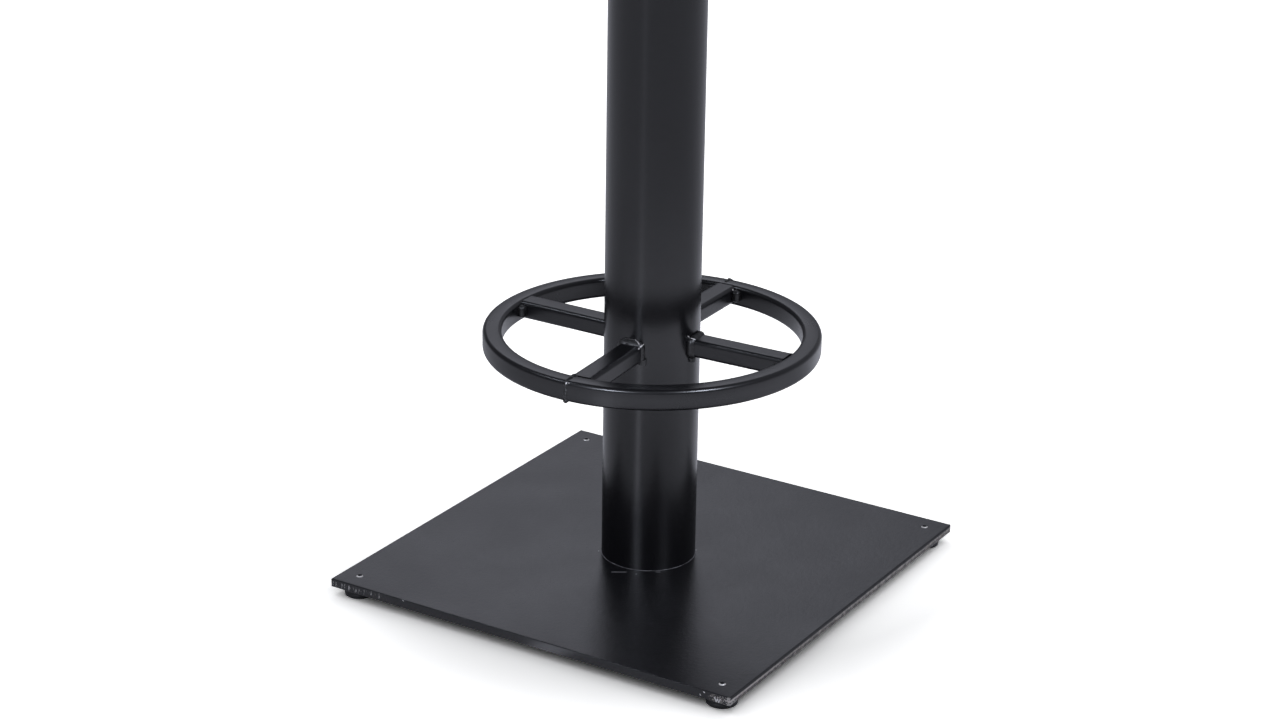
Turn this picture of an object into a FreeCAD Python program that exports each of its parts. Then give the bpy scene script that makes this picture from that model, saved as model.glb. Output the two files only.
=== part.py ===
import FreeCAD, Part
import math
import os
import Sketcher

# Pub table: square steel base plate on four screw glides, round steel column with a
# welded foot ring, round laminated top screwed to a steel top plate.
# Millimetres, +Z up, origin on the floor under the column's axis.

SIZES = [
    # the whole table
    ("table_height", 1100, "floor to the top's upper face"),
    # tabletop
    ("top_diameter", 700, "over the edge band"),
    ("top_thickness", 25, "core and both laminates"),
    ("laminate_thickness", 0.8, "each face"),
    ("edge_band_thickness", 2, "radial"),
    ("edge_band_round", 1.2, "radius on its two outer corners"),
    ("top_plate_side", 300, "square plate under the top"),
    ("top_plate_thickness", 6, ""),
    ("top_plate_corner", 25, "corner radius"),
    ("top_screw_inset", 20, "screw axis to the top plate's edge"),
    ("screw_diameter", 5, "shank"),
    ("screw_hole_clearance", 0.6, "radial, in the top plate"),
    ("screw_head_diameter", 10, ""),
    ("screw_head_height", 3, ""),
    ("screw_head_round", 0.7, "flat crown's share of the head's radius"),
    ("screw_bite", 16, "depth in the top"),
    # base plate
    ("plate_side", 500, "square base plate"),
    ("plate_thickness", 10, ""),
    ("glide_inset", 22, "glide axis to the plate's edges"),
    # column and its foot
    ("column_diameter", 104, "outside"),
    ("column_wall", 3, ""),
    ("foot_disc_thickness", 12, "disc welded into the column's lower end"),
    ("bolt_circle", 60, "diameter of the bolts' circle"),
    ("bolt_diameter", 10, ""),
    ("bolt_hole_clearance", 0.5, "radial, in the base plate"),
    ("bolt_head_diameter", 19, "countersunk head, if it ran out to a sharp edge"),
    ("bolt_head_recess", 0.4, "head below the plate's underside"),
    ("bolt_tip", 3, "bolt past the disc"),
    ("bolt_socket", 6, "hexagon across flats"),
    ("bolt_socket_depth", 3, ""),
    # foot ring
    ("ring_diameter", 366, "outside"),
    ("ring_rise", 265.3, "ring's upper face above the base plate"),
    ("ring_turn", 2.3, "degrees, ring's two joints off the plate's centre line"),
    ("ring_tube_width", 21, "radial"),
    ("ring_tube_height", 23.2, "vertical"),
    ("ring_tube_corner", 4, "outer corner radius"),
    ("ring_tube_wall", 2, ""),
    ("ring_seam_width", 4.5, "weld bead round the tube at each joint"),
    ("ring_seam_rise", 0.8, "bead proud of the tube"),
    ("spoke_width", 25, ""),
    ("spoke_height", 20, ""),
    ("spoke_corner", 2.5, "outer corner radius"),
    ("spoke_wall", 2, ""),
    # each spoke as it was welded on: degrees off square, and sideways off the axis
    ("spoke_front_turn", 3.7, ""),
    ("spoke_front_shift", 3.7, ""),
    ("spoke_right_turn", 2.0, ""),
    ("spoke_right_shift", 1.5, ""),
    ("spoke_back_turn", 1.2, ""),
    ("spoke_back_shift", -0.5, ""),
    ("spoke_left_turn", -0.2, ""),
    ("spoke_left_shift", -0.7, ""),
    ("spoke_weld", 4, "leg of the weld round a spoke's root"),
    ("spoke_weld_round", 2.5, "radius on that weld's outer corner"),
    ("spoke_tip_weld", 3.5, "radius of the upright welds at the ring"),
    ("plate_weld", 4, "leg of the welds at the column's two ends"),
    # glides
    ("pad_diameter", 33.2, ""),
    ("pad_height", 8.5, ""),
    ("pad_gap", 2, "pad to the base plate's underside"),
    ("pad_edge", 1.2, "chamfer"),
    ("stud_diameter", 8, ""),
    ("stud_proud", 0.8, "stud's end above the base plate"),
    ("stud_chamfer", 1, ""),
    ("flange_diameter", 16, "stud's flange, held in the pad"),
    ("flange_thickness", 2, ""),
    ("flange_seat", 3, "floor to the flange's underside"),
    ("running_clearance", 0.05, "radial, round the studs and flanges"),
]

doc = FreeCAD.newDocument("PubTable")
sheet = doc.addObject("Spreadsheet::Sheet", "Sizes")
for row, (alias, value, note) in enumerate(SIZES, start=1):
    sheet.set(f"A{row}", alias)
    sheet.set(f"B{row}", str(value))
    sheet.setAlias(f"B{row}", alias)
    sheet.set(f"C{row}", note)
doc.recompute()

# Heights and radii that follow from the sizes, as expressions.
plate_bottom = "(Sizes.pad_height + Sizes.pad_gap)"
plate_top = f"({plate_bottom} + Sizes.plate_thickness)"
top_bottom = "(Sizes.table_height - Sizes.top_thickness)"
top_plate_bottom = f"({top_bottom} - Sizes.top_plate_thickness)"
core_thickness = "(Sizes.top_thickness - 2 * Sizes.laminate_thickness)"
core_radius = "(Sizes.top_diameter / 2 - Sizes.edge_band_thickness)"
screw_offset = "(Sizes.top_plate_side / 2 - Sizes.top_screw_inset)"
glide_offset = "(Sizes.plate_side / 2 - Sizes.glide_inset)"
column_radius = "(Sizes.column_diameter / 2)"
column_bore = f"({column_radius} - Sizes.column_wall)"
ring_top = f"({plate_top} + Sizes.ring_rise)"
ring_outer = "(Sizes.ring_diameter / 2)"
ring_inner = f"({ring_outer} - Sizes.ring_tube_width)"
ring_middle = f"({ring_outer} - Sizes.ring_tube_width / 2)"
ring_centre_height = f"({ring_top} - Sizes.ring_tube_height / 2)"
spoke_centre_height = f"({ring_top} - Sizes.spoke_height / 2)"

parts = []


def value(expression):
    """The number that an expression gives now, to start a sketch near its solution."""
    return float(sheet.evalExpression(expression))


def new_part(label):
    body = doc.addObject("PartDesign::Body", label)
    body.Label = label
    parts.append(body)
    return body


def origin_item(body, role):
    return next(item for item in body.Origin.OriginFeatures if item.Role == role)


def new_sketch(body, name, role):
    sketch = body.newObject("Sketcher::SketchObject", name)
    sketch.AttachmentSupport = (origin_item(body, role), [""])
    sketch.MapMode = "FlatFace"
    return sketch


def dimension(sketch, kind, *items):
    """A driving dimension; its last item is the expression that it follows."""
    *geometry, expression = items
    index = sketch.addConstraint(Sketcher.Constraint(kind, *geometry, value(expression)))
    sketch.setExpression(f"Constraints[{index}]", expression)


def pin_point(sketch, geometry, vertex, across, up):
    dimension(sketch, "DistanceX", -1, 1, geometry, vertex, across)
    dimension(sketch, "DistanceY", -1, 1, geometry, vertex, up)


def add_circle(sketch, radius, across="0", up="0"):
    centre = FreeCAD.Vector(value(across), value(up), 0)
    circle = sketch.addGeometry(Part.Circle(centre, FreeCAD.Vector(0, 0, 1), value(radius)))
    dimension(sketch, "Radius", circle, radius)
    pin_point(sketch, circle, 3, across, up)


def add_outline(sketch, points):
    """A closed outline of straight edges through points given as pairs of expressions."""
    corners = [FreeCAD.Vector(value(across), value(up), 0) for across, up in points]
    edges = []
    for start, end in zip(corners, corners[1:] + corners[:1]):
        edges.append(sketch.addGeometry(Part.LineSegment(start, end)))
    for edge, following in zip(edges, edges[1:] + edges[:1]):
        sketch.addConstraint(Sketcher.Constraint("Coincident", edge, 2, following, 1))
    for edge, (across, up) in zip(edges, points):
        pin_point(sketch, edge, 1, across, up)


def add_rounded_rectangle(sketch, width, height, corner, across="0", up="0"):
    """Four straight sides and four tangent corner arcs, centred on (across, up)."""
    half_width, half_height, radius = value(width) / 2, value(height) / 2, value(corner)
    centre = FreeCAD.Vector(value(across), value(up), 0)
    axis = FreeCAD.Vector(0, 0, 1)
    sides = []
    arcs = []
    inner_x, inner_y = half_width - radius, half_height - radius
    corners = [(inner_x, -inner_y, 270), (inner_x, inner_y, 0),
               (-inner_x, inner_y, 90), (-inner_x, -inner_y, 180)]
    for x, y, start_angle in corners:
        hub = centre + FreeCAD.Vector(x, y, 0)
        circle = Part.Circle(hub, axis, radius)
        start, end = math.radians(start_angle), math.radians(start_angle + 90)
        arcs.append(sketch.addGeometry(Part.ArcOfCircle(circle, start, end)))
    for arc, following in zip(arcs, arcs[1:] + arcs[:1]):
        start = sketch.getPoint(arc, 2)
        end = sketch.getPoint(following, 1)
        side = sketch.addGeometry(Part.LineSegment(start, end))
        sides.append(side)
        sketch.addConstraint(Sketcher.Constraint("Tangent", arc, 2, side, 1))
        sketch.addConstraint(Sketcher.Constraint("Tangent", side, 2, following, 1))
    for index, side in enumerate(sides):
        sketch.addConstraint(Sketcher.Constraint("Vertical" if index % 2 == 0 else "Horizontal", side))
    for arc in arcs[1:]:
        sketch.addConstraint(Sketcher.Constraint("Equal", arcs[0], arc))
    right, top, left, bottom = sides
    dimension(sketch, "Radius", arcs[0], corner)
    dimension(sketch, "DistanceX", left, 1, right, 1, width)
    dimension(sketch, "DistanceY", bottom, 1, top, 1, height)
    dimension(sketch, "DistanceX", -1, 1, right, 1, f"{across} + ({width}) / 2")
    dimension(sketch, "DistanceY", -1, 1, top, 1, f"{up} + ({height}) / 2")


def new_feature(body, kind, name, sketch, **settings):
    """A sketch-based feature; settings given as text are expressions, other ones values."""
    feature = body.newObject(f"PartDesign::{kind}", name)
    feature.Profile = sketch
    for setting, given in settings.items():
        if setting in ("Length", "Angle"):
            feature.setExpression(setting, str(given))
        else:
            setattr(feature, setting, given)
    return feature


def pad(body, name, sketch, length):
    return new_feature(body, "Pad", name, sketch, Length=length)


def cut_through(body, name, sketch):
    """Removes the sketch's area all the way through, on both sides of its plane."""
    return new_feature(body, "Pocket", name, sketch, Type="ThroughAll", SideType="Symmetric")


def revolve(body, name, sketch, angle="360"):
    return new_feature(body, "Revolution", name, sketch, Angle=angle, ReferenceAxis=(sketch, ["V_Axis"]))


def four_round(body, name, features):
    """Repeats features at quarter turns round the body's Z axis."""
    doc.recompute()
    pattern = body.newObject("PartDesign::PolarPattern", name)
    pattern.Originals = features
    pattern.Axis = (origin_item(body, "Z_Axis"), [""])
    pattern.Angle = 360
    pattern.Occurrences = 4
    body.Tip = pattern
    return pattern


def place(body, height="0", angle="0", across="0", along="0"):
    body.Placement = FreeCAD.Placement(FreeCAD.Vector(), FreeCAD.Rotation(FreeCAD.Vector(0, 0, 1), 1))
    body.setExpression("Placement.Rotation.Angle", angle)
    body.setExpression("Placement.Base.x", across)
    body.setExpression("Placement.Base.y", along)
    body.setExpression("Placement.Base.z", height)


# ---- base plate and column ----

def build_base_plate():
    body = new_part("base_plate")
    outline = new_sketch(body, "plate_outline", "XY_Plane")
    half = "Sizes.plate_side / 2"
    add_outline(outline, [(f"-{half}", f"-{half}"), (half, f"-{half}"), (half, half), (f"-{half}", half)])
    pad(body, "plate", outline, "Sizes.plate_thickness")
    tapped = new_sketch(body, "glide_hole_outline", "XY_Plane")
    add_circle(tapped, "Sizes.stud_diameter / 2 + Sizes.running_clearance", glide_offset, glide_offset)
    glide_hole = cut_through(body, "glide_hole", tapped)
    four_round(body, "glide_holes", [glide_hole])
    seat = new_sketch(body, "bolt_seat_outline", "XZ_Plane")
    seat.setExpression("AttachmentOffset.Base.x", "Sizes.bolt_circle / 2")
    head = "Sizes.bolt_head_diameter / 2"
    hole = "(Sizes.bolt_diameter / 2 + Sizes.bolt_hole_clearance)"
    add_outline(seat, [("0", "0"), (head, "0"), (hole, f"{head} - {hole}"),
                       (hole, "Sizes.plate_thickness"), ("0", "Sizes.plate_thickness")])
    bolt_seat = new_feature(body, "Groove", "bolt_seat", seat, Angle="360", ReferenceAxis=(seat, ["V_Axis"]))
    four_round(body, "bolt_seats", [bolt_seat])
    place(body, height=plate_bottom)


def build_column():
    tube = new_part("column_tube")
    section = new_sketch(tube, "tube_section", "XY_Plane")
    add_circle(section, column_radius)
    add_circle(section, column_bore)
    pad(tube, "tube", section, f"{top_plate_bottom} - {plate_top}")
    place(tube, height=plate_top)

    disc = new_part("column_foot_disc")
    face = new_sketch(disc, "disc_outline", "XY_Plane")
    add_circle(face, column_bore)
    pad(disc, "disc", face, "Sizes.foot_disc_thickness")
    tapped = new_sketch(disc, "bolt_hole_outline", "XY_Plane")
    add_circle(tapped, "Sizes.bolt_diameter / 2", "Sizes.bolt_circle / 2")
    bolt_hole = cut_through(disc, "bolt_hole", tapped)
    four_round(disc, "bolt_holes", [bolt_hole])
    place(disc, height=plate_top)

    weld = new_part("column_foot_weld")
    fillet = new_sketch(weld, "weld_section", "XZ_Plane")
    add_outline(fillet, [(column_bore, "0"), (column_bore, "Sizes.plate_weld"),
                         (f"{column_bore} - Sizes.plate_weld", "0")])
    revolve(weld, "weld", fillet)
    place(weld, height=f"{plate_top} + Sizes.foot_disc_thickness")

    bolts = new_part("column_bolts")
    profile = new_sketch(bolts, "bolt_profile", "XZ_Plane")
    profile.setExpression("AttachmentOffset.Base.x", "Sizes.bolt_circle / 2")
    head, shank = "Sizes.bolt_head_diameter / 2", "Sizes.bolt_diameter / 2"
    tip = "Sizes.plate_thickness + Sizes.foot_disc_thickness + Sizes.bolt_tip"
    add_outline(profile, [("0", "Sizes.bolt_head_recess"),
                          (f"{head} - Sizes.bolt_head_recess", "Sizes.bolt_head_recess"),
                          (shank, f"{head} - {shank}"), (shank, tip), ("0", tip)])
    bolt = revolve(bolts, "bolt", profile)
    hexagon = new_sketch(bolts, "socket_outline", "XY_Plane")
    reach = "Sizes.bolt_socket / sqrt(3)"
    add_outline(hexagon, [(f"Sizes.bolt_circle / 2 + {reach} * cos({turn} deg)", f"{reach} * sin({turn} deg)")
                          for turn in range(0, 360, 60)])
    socket = new_feature(bolts, "Pocket", "socket", hexagon, Reversed=True,
                         Length="Sizes.bolt_head_recess + Sizes.bolt_socket_depth")
    four_round(bolts, "bolts", [bolt, socket])
    place(bolts, height=plate_bottom)


# ---- foot ring ----

def add_ring_tube_section(sketch, growth="0"):
    add_rounded_rectangle(sketch, f"Sizes.ring_tube_width + 2 * {growth}",
                          f"Sizes.ring_tube_height + 2 * {growth}",
                          f"Sizes.ring_tube_corner + {growth}", ring_middle)


def build_ring_half(side, start_angle):
    half = new_part(f"foot_ring_half_{side}")
    section = new_sketch(half, "tube_section", "XZ_Plane")
    add_ring_tube_section(section)
    add_ring_tube_section(section, "-Sizes.ring_tube_wall")
    revolve(half, "half_ring", section, "180")
    place(half, height=ring_centre_height, angle=f"{start_angle} + Sizes.ring_turn")


def build_ring_seam(side, angle):
    seam = new_part(f"ring_seam_weld_{side}")
    section = new_sketch(seam, "bead_section", "XZ_Plane")
    add_ring_tube_section(section, "Sizes.ring_seam_rise")
    add_ring_tube_section(section)
    bead = revolve(seam, "bead", section, f"Sizes.ring_seam_width / {ring_middle} * 180 / pi")
    bead.Midplane = True
    ground = new_sketch(seam, "flush_inside_outline", "XY_Plane")
    add_circle(ground, ring_inner)
    cut_through(seam, "flush_inside", ground)
    place(seam, height=ring_centre_height, angle=f"{angle} + Sizes.ring_turn")


def add_spoke_section(sketch, side, growth="0"):
    add_rounded_rectangle(sketch, f"Sizes.spoke_width + 2 * {growth}",
                          f"Sizes.spoke_height + 2 * {growth}",
                          f"Sizes.spoke_corner + {growth}", f"Sizes.spoke_{side}_shift")


def cope_ends(body, inner, outer):
    """Trims a bar that runs along X to the space between two cylinders round Z."""
    ends = new_sketch(body, "end_trim", "XY_Plane")
    add_circle(ends, inner)
    add_circle(ends, outer)
    add_circle(ends, f"2 * {ring_outer}")
    return cut_through(body, "coped_ends", ends)


def build_spoke(side, angle):
    seat = dict(height=spoke_centre_height, angle=f"{angle} + Sizes.spoke_{side}_turn")
    spoke = new_part(f"foot_ring_spoke_{side}")
    section = new_sketch(spoke, "tube_section", "YZ_Plane")
    add_spoke_section(section, side)
    add_spoke_section(section, side, "-Sizes.spoke_wall")
    pad(spoke, "tube", section, ring_outer)
    cope_ends(spoke, column_radius, ring_inner)
    place(spoke, **seat)

    root = new_part(f"spoke_root_weld_{side}")
    collar = new_sketch(root, "weld_outline", "YZ_Plane")
    add_spoke_section(collar, side, "Sizes.spoke_weld")
    pad(root, "collar", collar, ring_inner)
    trimmed = cope_ends(root, column_radius, f"({column_radius} + Sizes.spoke_weld)")
    doc.recompute()
    rounding = root.newObject("PartDesign::Fillet", "rounded_bead")
    rounding.Base = (trimmed, outer_edges(trimmed.Shape, value(f"{column_radius} + Sizes.spoke_weld")))
    rounding.setExpression("Radius", "Sizes.spoke_weld_round")
    opening = new_sketch(root, "spoke_opening", "YZ_Plane")
    add_spoke_section(opening, side)
    cut_through(root, "opening", opening)
    place(root, **seat)

    tip = new_part(f"spoke_tip_welds_{side}")
    beads = new_sketch(tip, "bead_outlines", "XY_Plane")
    for sign in ("-", "+"):
        edge = f"(Sizes.spoke_{side}_shift {sign} Sizes.spoke_width / 2)"
        add_circle(beads, "Sizes.spoke_tip_weld", f"sqrt({ring_inner} ^ 2 - {edge} ^ 2)", edge)
    upright = pad(tip, "beads", beads, "Sizes.spoke_height - 2 * Sizes.spoke_corner")
    upright.SideType = "Symmetric"
    between = new_sketch(tip, "spoke_trim_outline", "XY_Plane")
    low, high = (f"(Sizes.spoke_{side}_shift {sign} Sizes.spoke_width / 2)" for sign in ("-", "+"))
    add_outline(between, [("0", low), (ring_outer, low), (ring_outer, high), ("0", high)])
    cut_through(tip, "spoke_trim", between)
    cope_ends(tip, column_radius, ring_inner)
    place(tip, **seat)


def outer_edges(shape, radius):
    """Names of the edges of the face that lies on a cylinder of this radius round Z."""
    for face in shape.Faces:
        if isinstance(face.Surface, Part.Cylinder) and abs(face.Surface.Radius - radius) < 1e-6:
            wanted = [edge.hashCode() for edge in face.Edges]
            return [f"Edge{index}" for index, edge in enumerate(shape.Edges, start=1)
                    if edge.hashCode() in wanted]
    raise ValueError("no face on that cylinder")


# ---- tabletop ----

def add_screw_positions(sketch, radius):
    """One screw in the plate's corner and one half way along its side."""
    add_circle(sketch, radius, screw_offset, screw_offset)
    add_circle(sketch, radius, screw_offset)


def build_top_plate():
    plate = new_part("top_plate")
    outline = new_sketch(plate, "plate_outline", "XY_Plane")
    add_rounded_rectangle(outline, "Sizes.top_plate_side", "Sizes.top_plate_side", "Sizes.top_plate_corner")
    pad(plate, "plate", outline, "Sizes.top_plate_thickness")
    holes = new_sketch(plate, "screw_hole_outlines", "XY_Plane")
    add_screw_positions(holes, "Sizes.screw_diameter / 2 + Sizes.screw_hole_clearance")
    screw_holes = cut_through(plate, "screw_hole_pair", holes)
    four_round(plate, "screw_holes", [screw_holes])
    place(plate, height=top_plate_bottom)

    weld = new_part("top_plate_weld")
    fillet = new_sketch(weld, "weld_section", "XZ_Plane")
    add_outline(fillet, [(column_radius, "0"), (f"{column_radius} + Sizes.plate_weld", "0"),
                         (column_radius, "-Sizes.plate_weld")])
    revolve(weld, "weld", fillet)
    place(weld, height=top_plate_bottom)


def build_board(label, thickness, height, hole_depth=None):
    """A round layer of the top; the screws pass through it or end in it at hole_depth."""
    board = new_part(label)
    outline = new_sketch(board, "board_outline", "XY_Plane")
    add_circle(outline, core_radius)
    pad(board, "board", outline, thickness)
    if hole_depth:
        holes = new_sketch(board, "screw_hole_outlines", "XY_Plane")
        add_screw_positions(holes, "Sizes.screw_diameter / 2")
        pair = new_feature(board, "Pocket", "screw_hole_pair", holes, Length=hole_depth, Reversed=True)
        four_round(board, "screw_holes", [pair])
    place(board, height=height)


def build_edge_band():
    band = new_part("tabletop_edge_band")
    section = new_sketch(band, "band_section", "XY_Plane")
    add_circle(section, core_radius)
    add_circle(section, "Sizes.top_diameter / 2")
    ring = pad(band, "ring", section, "Sizes.top_thickness")
    doc.recompute()
    outer = value("Sizes.top_diameter / 2")
    rims = [f"Edge{index}" for index, edge in enumerate(ring.Shape.Edges, start=1)
            if isinstance(edge.Curve, Part.Circle) and abs(edge.Curve.Radius - outer) < 1e-6]
    rounding = band.newObject("PartDesign::Fillet", "rounded_rims")
    rounding.Base = (ring, rims)
    rounding.setExpression("Radius", "Sizes.edge_band_round")
    place(band, height=top_bottom)


def build_screws():
    screws = new_part("tabletop_screws")
    head, shank = "Sizes.screw_head_diameter / 2", "Sizes.screw_diameter / 2"
    tip = "Sizes.top_plate_thickness + Sizes.screw_bite"
    turned = []
    for name, along in (("corner", f"-{screw_offset}"), ("side", "0")):
        profile = new_sketch(screws, f"{name}_screw_profile", "XZ_Plane")
        profile.setExpression("AttachmentOffset.Base.x", screw_offset)
        profile.setExpression("AttachmentOffset.Base.z", along)
        add_outline(profile, [("0", "-Sizes.screw_head_height"),
                              (f"Sizes.screw_head_round * {head}", "-Sizes.screw_head_height"),
                              (head, "-Sizes.screw_head_height / 2"), (head, "0"), (shank, "0"),
                              (shank, f"{tip} - {shank}"), ("0", tip)])
        turned.append(revolve(screws, f"{name}_screw", profile))
    four_round(screws, "screws", turned)
    place(screws, height=top_plate_bottom)


# ---- glides ----

def build_glide(corner, across_sign, along_sign):
    seat = dict(across=f"{across_sign}{glide_offset}", along=f"{along_sign}{glide_offset}")
    rim, height, edge = "Sizes.pad_diameter / 2", "Sizes.pad_height", "Sizes.pad_edge"
    bore = "Sizes.stud_diameter / 2 + Sizes.running_clearance"
    pocket = "Sizes.flange_diameter / 2 + Sizes.running_clearance"
    lip = "Sizes.flange_seat + Sizes.flange_thickness + Sizes.running_clearance"
    pad_part = new_part(f"glide_pad_{corner}")
    profile = new_sketch(pad_part, "pad_profile", "XZ_Plane")
    add_outline(profile, [("0", "0"), (f"{rim} - {edge}", "0"), (rim, edge), (rim, f"{height} - {edge}"),
                          (f"{rim} - {edge}", height), (bore, height), (bore, lip), (pocket, lip),
                          (pocket, "Sizes.flange_seat"), ("0", "Sizes.flange_seat")])
    revolve(pad_part, "pad", profile)
    place(pad_part, **seat)

    stud = new_part(f"glide_stud_{corner}")
    shank, flange = "Sizes.stud_diameter / 2", "Sizes.flange_diameter / 2"
    shoulder = "Sizes.flange_seat + Sizes.flange_thickness"
    tip = f"{plate_top} + Sizes.stud_proud"
    profile = new_sketch(stud, "stud_profile", "XZ_Plane")
    add_outline(profile, [("0", "Sizes.flange_seat"), (flange, "Sizes.flange_seat"), (flange, shoulder),
                          (shank, shoulder), (shank, f"{tip} - Sizes.stud_chamfer"),
                          (f"{shank} - Sizes.stud_chamfer", tip), ("0", tip)])
    revolve(stud, "stud", profile)
    place(stud, **seat)


build_base_plate()
build_column()
build_ring_half("right", -90)
build_ring_half("left", 90)
build_ring_seam("front", -90)
build_ring_seam("back", 90)
for side, angle in (("front", -90), ("right", 0), ("back", 90), ("left", 180)):
    build_spoke(side, angle)
build_top_plate()
build_board("tabletop_laminate_underside", "Sizes.laminate_thickness", top_bottom, "Sizes.laminate_thickness")
build_board("tabletop_core", core_thickness, f"{top_bottom} + Sizes.laminate_thickness",
            "Sizes.screw_bite - Sizes.laminate_thickness")
build_board("tabletop_laminate", "Sizes.laminate_thickness", "Sizes.table_height - Sizes.laminate_thickness")
build_edge_band()
build_screws()
for corner, across_sign, along_sign in (("front_left", "-", "-"), ("front_right", "", "-"),
                                        ("back_right", "", ""), ("back_left", "-", "")):
    build_glide(corner, across_sign, along_sign)
doc.recompute()

for item in doc.Objects:
    if "Invalid" in item.State or "Error" in item.State:
        raise RuntimeError(f"{item.Label} did not build: {item.State}")
for part in parts:
    if part.Shape.isNull() or not part.Shape.isValid():
        raise RuntimeError(f"{part.Label} has no valid shape")

os.makedirs("parts", exist_ok=True)
for part in parts:
    part.Shape.exportStep(f"parts/{part.Label}.step")
    box = part.Shape.BoundBox
    print(f"{part.Label:32s} solids {len(part.Shape.Solids)}  volume {part.Shape.Volume / 1000:10.3f} cm3"
          f"  z {box.ZMin:8.2f} to {box.ZMax:8.2f}")
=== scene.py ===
import math

import bmesh
import bpy
from mathutils import Matrix, Vector


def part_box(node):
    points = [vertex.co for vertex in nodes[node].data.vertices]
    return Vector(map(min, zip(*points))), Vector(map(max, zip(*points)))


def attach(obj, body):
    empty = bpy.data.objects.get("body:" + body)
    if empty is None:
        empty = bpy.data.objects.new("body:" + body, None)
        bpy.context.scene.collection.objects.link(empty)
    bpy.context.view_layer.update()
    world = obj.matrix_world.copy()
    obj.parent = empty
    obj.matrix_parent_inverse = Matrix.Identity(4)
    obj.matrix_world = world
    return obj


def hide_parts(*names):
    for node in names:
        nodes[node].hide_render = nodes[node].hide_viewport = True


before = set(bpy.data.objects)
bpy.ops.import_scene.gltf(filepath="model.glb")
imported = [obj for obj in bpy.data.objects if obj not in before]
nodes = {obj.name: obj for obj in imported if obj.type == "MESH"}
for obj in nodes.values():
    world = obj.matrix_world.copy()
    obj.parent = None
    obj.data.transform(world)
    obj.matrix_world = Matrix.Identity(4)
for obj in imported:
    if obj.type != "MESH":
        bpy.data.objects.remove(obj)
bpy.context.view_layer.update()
print("frame loaded:", len(nodes), "nodes")

low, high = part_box("base_plate")
plateHalf, plateTop, plateBottom = high.x, high.z, low.z
glideInset = 0.022
glideReach = plateHalf - glideInset  # each glide's X and Y


# node trees: arithmetic on sockets, and one way to add any other node

class Wire:
    def __init__(self, sheet, socket):
        self.sheet, self.socket = sheet, socket

    def math(self, operation, *others):
        return self.sheet.node("ShaderNodeMath", {"operation": operation}, dict(enumerate((self, *others))))

    def before(self, operation, other):  # for 1 - mask and 1 / mask, where the wire comes second
        return self.sheet.node("ShaderNodeMath", {"operation": operation}, {0: other, 1: self})

    def __add__(self, other):
        return self.math("ADD", other)

    def __sub__(self, other):
        return self.math("SUBTRACT", other)

    def __rsub__(self, other):
        return self.before("SUBTRACT", other)

    def __mul__(self, other):
        return self.math("MULTIPLY", other)

    def __truediv__(self, other):
        return self.math("DIVIDE", other)

    def __rtruediv__(self, other):
        return self.before("DIVIDE", other)

    def __neg__(self):
        return self.math("MULTIPLY", -1.0)

    def __abs__(self):
        return self.math("ABSOLUTE")

    __radd__, __rmul__ = __add__, __mul__

    def least(self, other):
        return self.math("MINIMUM", other)

    def most(self, other):
        return self.math("MAXIMUM", other)

    def step(self, low, high):  # 0 at low, 1 at high, smooth between
        return self.sheet.node("ShaderNodeMapRange", {"interpolation_type": "SMOOTHSTEP"},
                               {"Value": self, "From Min": low, "From Max": high})

    def part(self, name):  # another output of the same node
        return Wire(self.sheet, self.socket.node.outputs[name])


class Sheet:
    def __init__(self, tree):
        self.tree = tree
        tree.nodes.clear()

    def node(self, kind, settings=None, sockets=None, output=0):
        made = self.tree.nodes.new(kind)
        for name, setting in (settings or {}).items():
            if name == "stops":
                ramp = made.color_ramp
                while len(ramp.elements) < len(setting):
                    ramp.elements.new(0.5)
                for element, (place, colour) in zip(ramp.elements, setting):
                    element.position, element.color = place, (*colour, 1)
            else:
                setattr(made, name, setting)
        for name, given in (sockets or {}).items():
            if isinstance(given, Wire):
                self.tree.links.new(given.socket, made.inputs[name])
            elif given is not None:
                made.inputs[name].default_value = given
        return Wire(self, made.outputs[output]) if len(made.outputs) else None

    def colours(self, share, first, second, kind="MIX"):
        first, second = ((*one, 1) if isinstance(one, tuple) else one for one in (first, second))
        return self.node("ShaderNodeMix", {"data_type": "RGBA", "blend_type": kind},
                         {0: share, 6: first, 7: second}, output=2)

    def vectors(self, operation, first, second=None, output=0):
        return self.node("ShaderNodeVectorMath", {"operation": operation}, {0: first, 1: second}, output)

    def measure(self, operation, first, second=None):  # a length, a distance or a dot product
        return self.vectors(operation, first, second, "Value")

    def scaled(self, vector, amount):
        return self.node("ShaderNodeVectorMath", {"operation": "SCALE"}, {0: vector, "Scale": amount})

    def evenly(self, amount):  # the same amount in X, Y and Z
        return self.node("ShaderNodeCombineXYZ", None, {0: amount, 1: amount, 2: amount})

    def ramp(self, stops, along):
        return self.node("ShaderNodeValToRGB", {"stops": stops}, {0: along})


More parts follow.
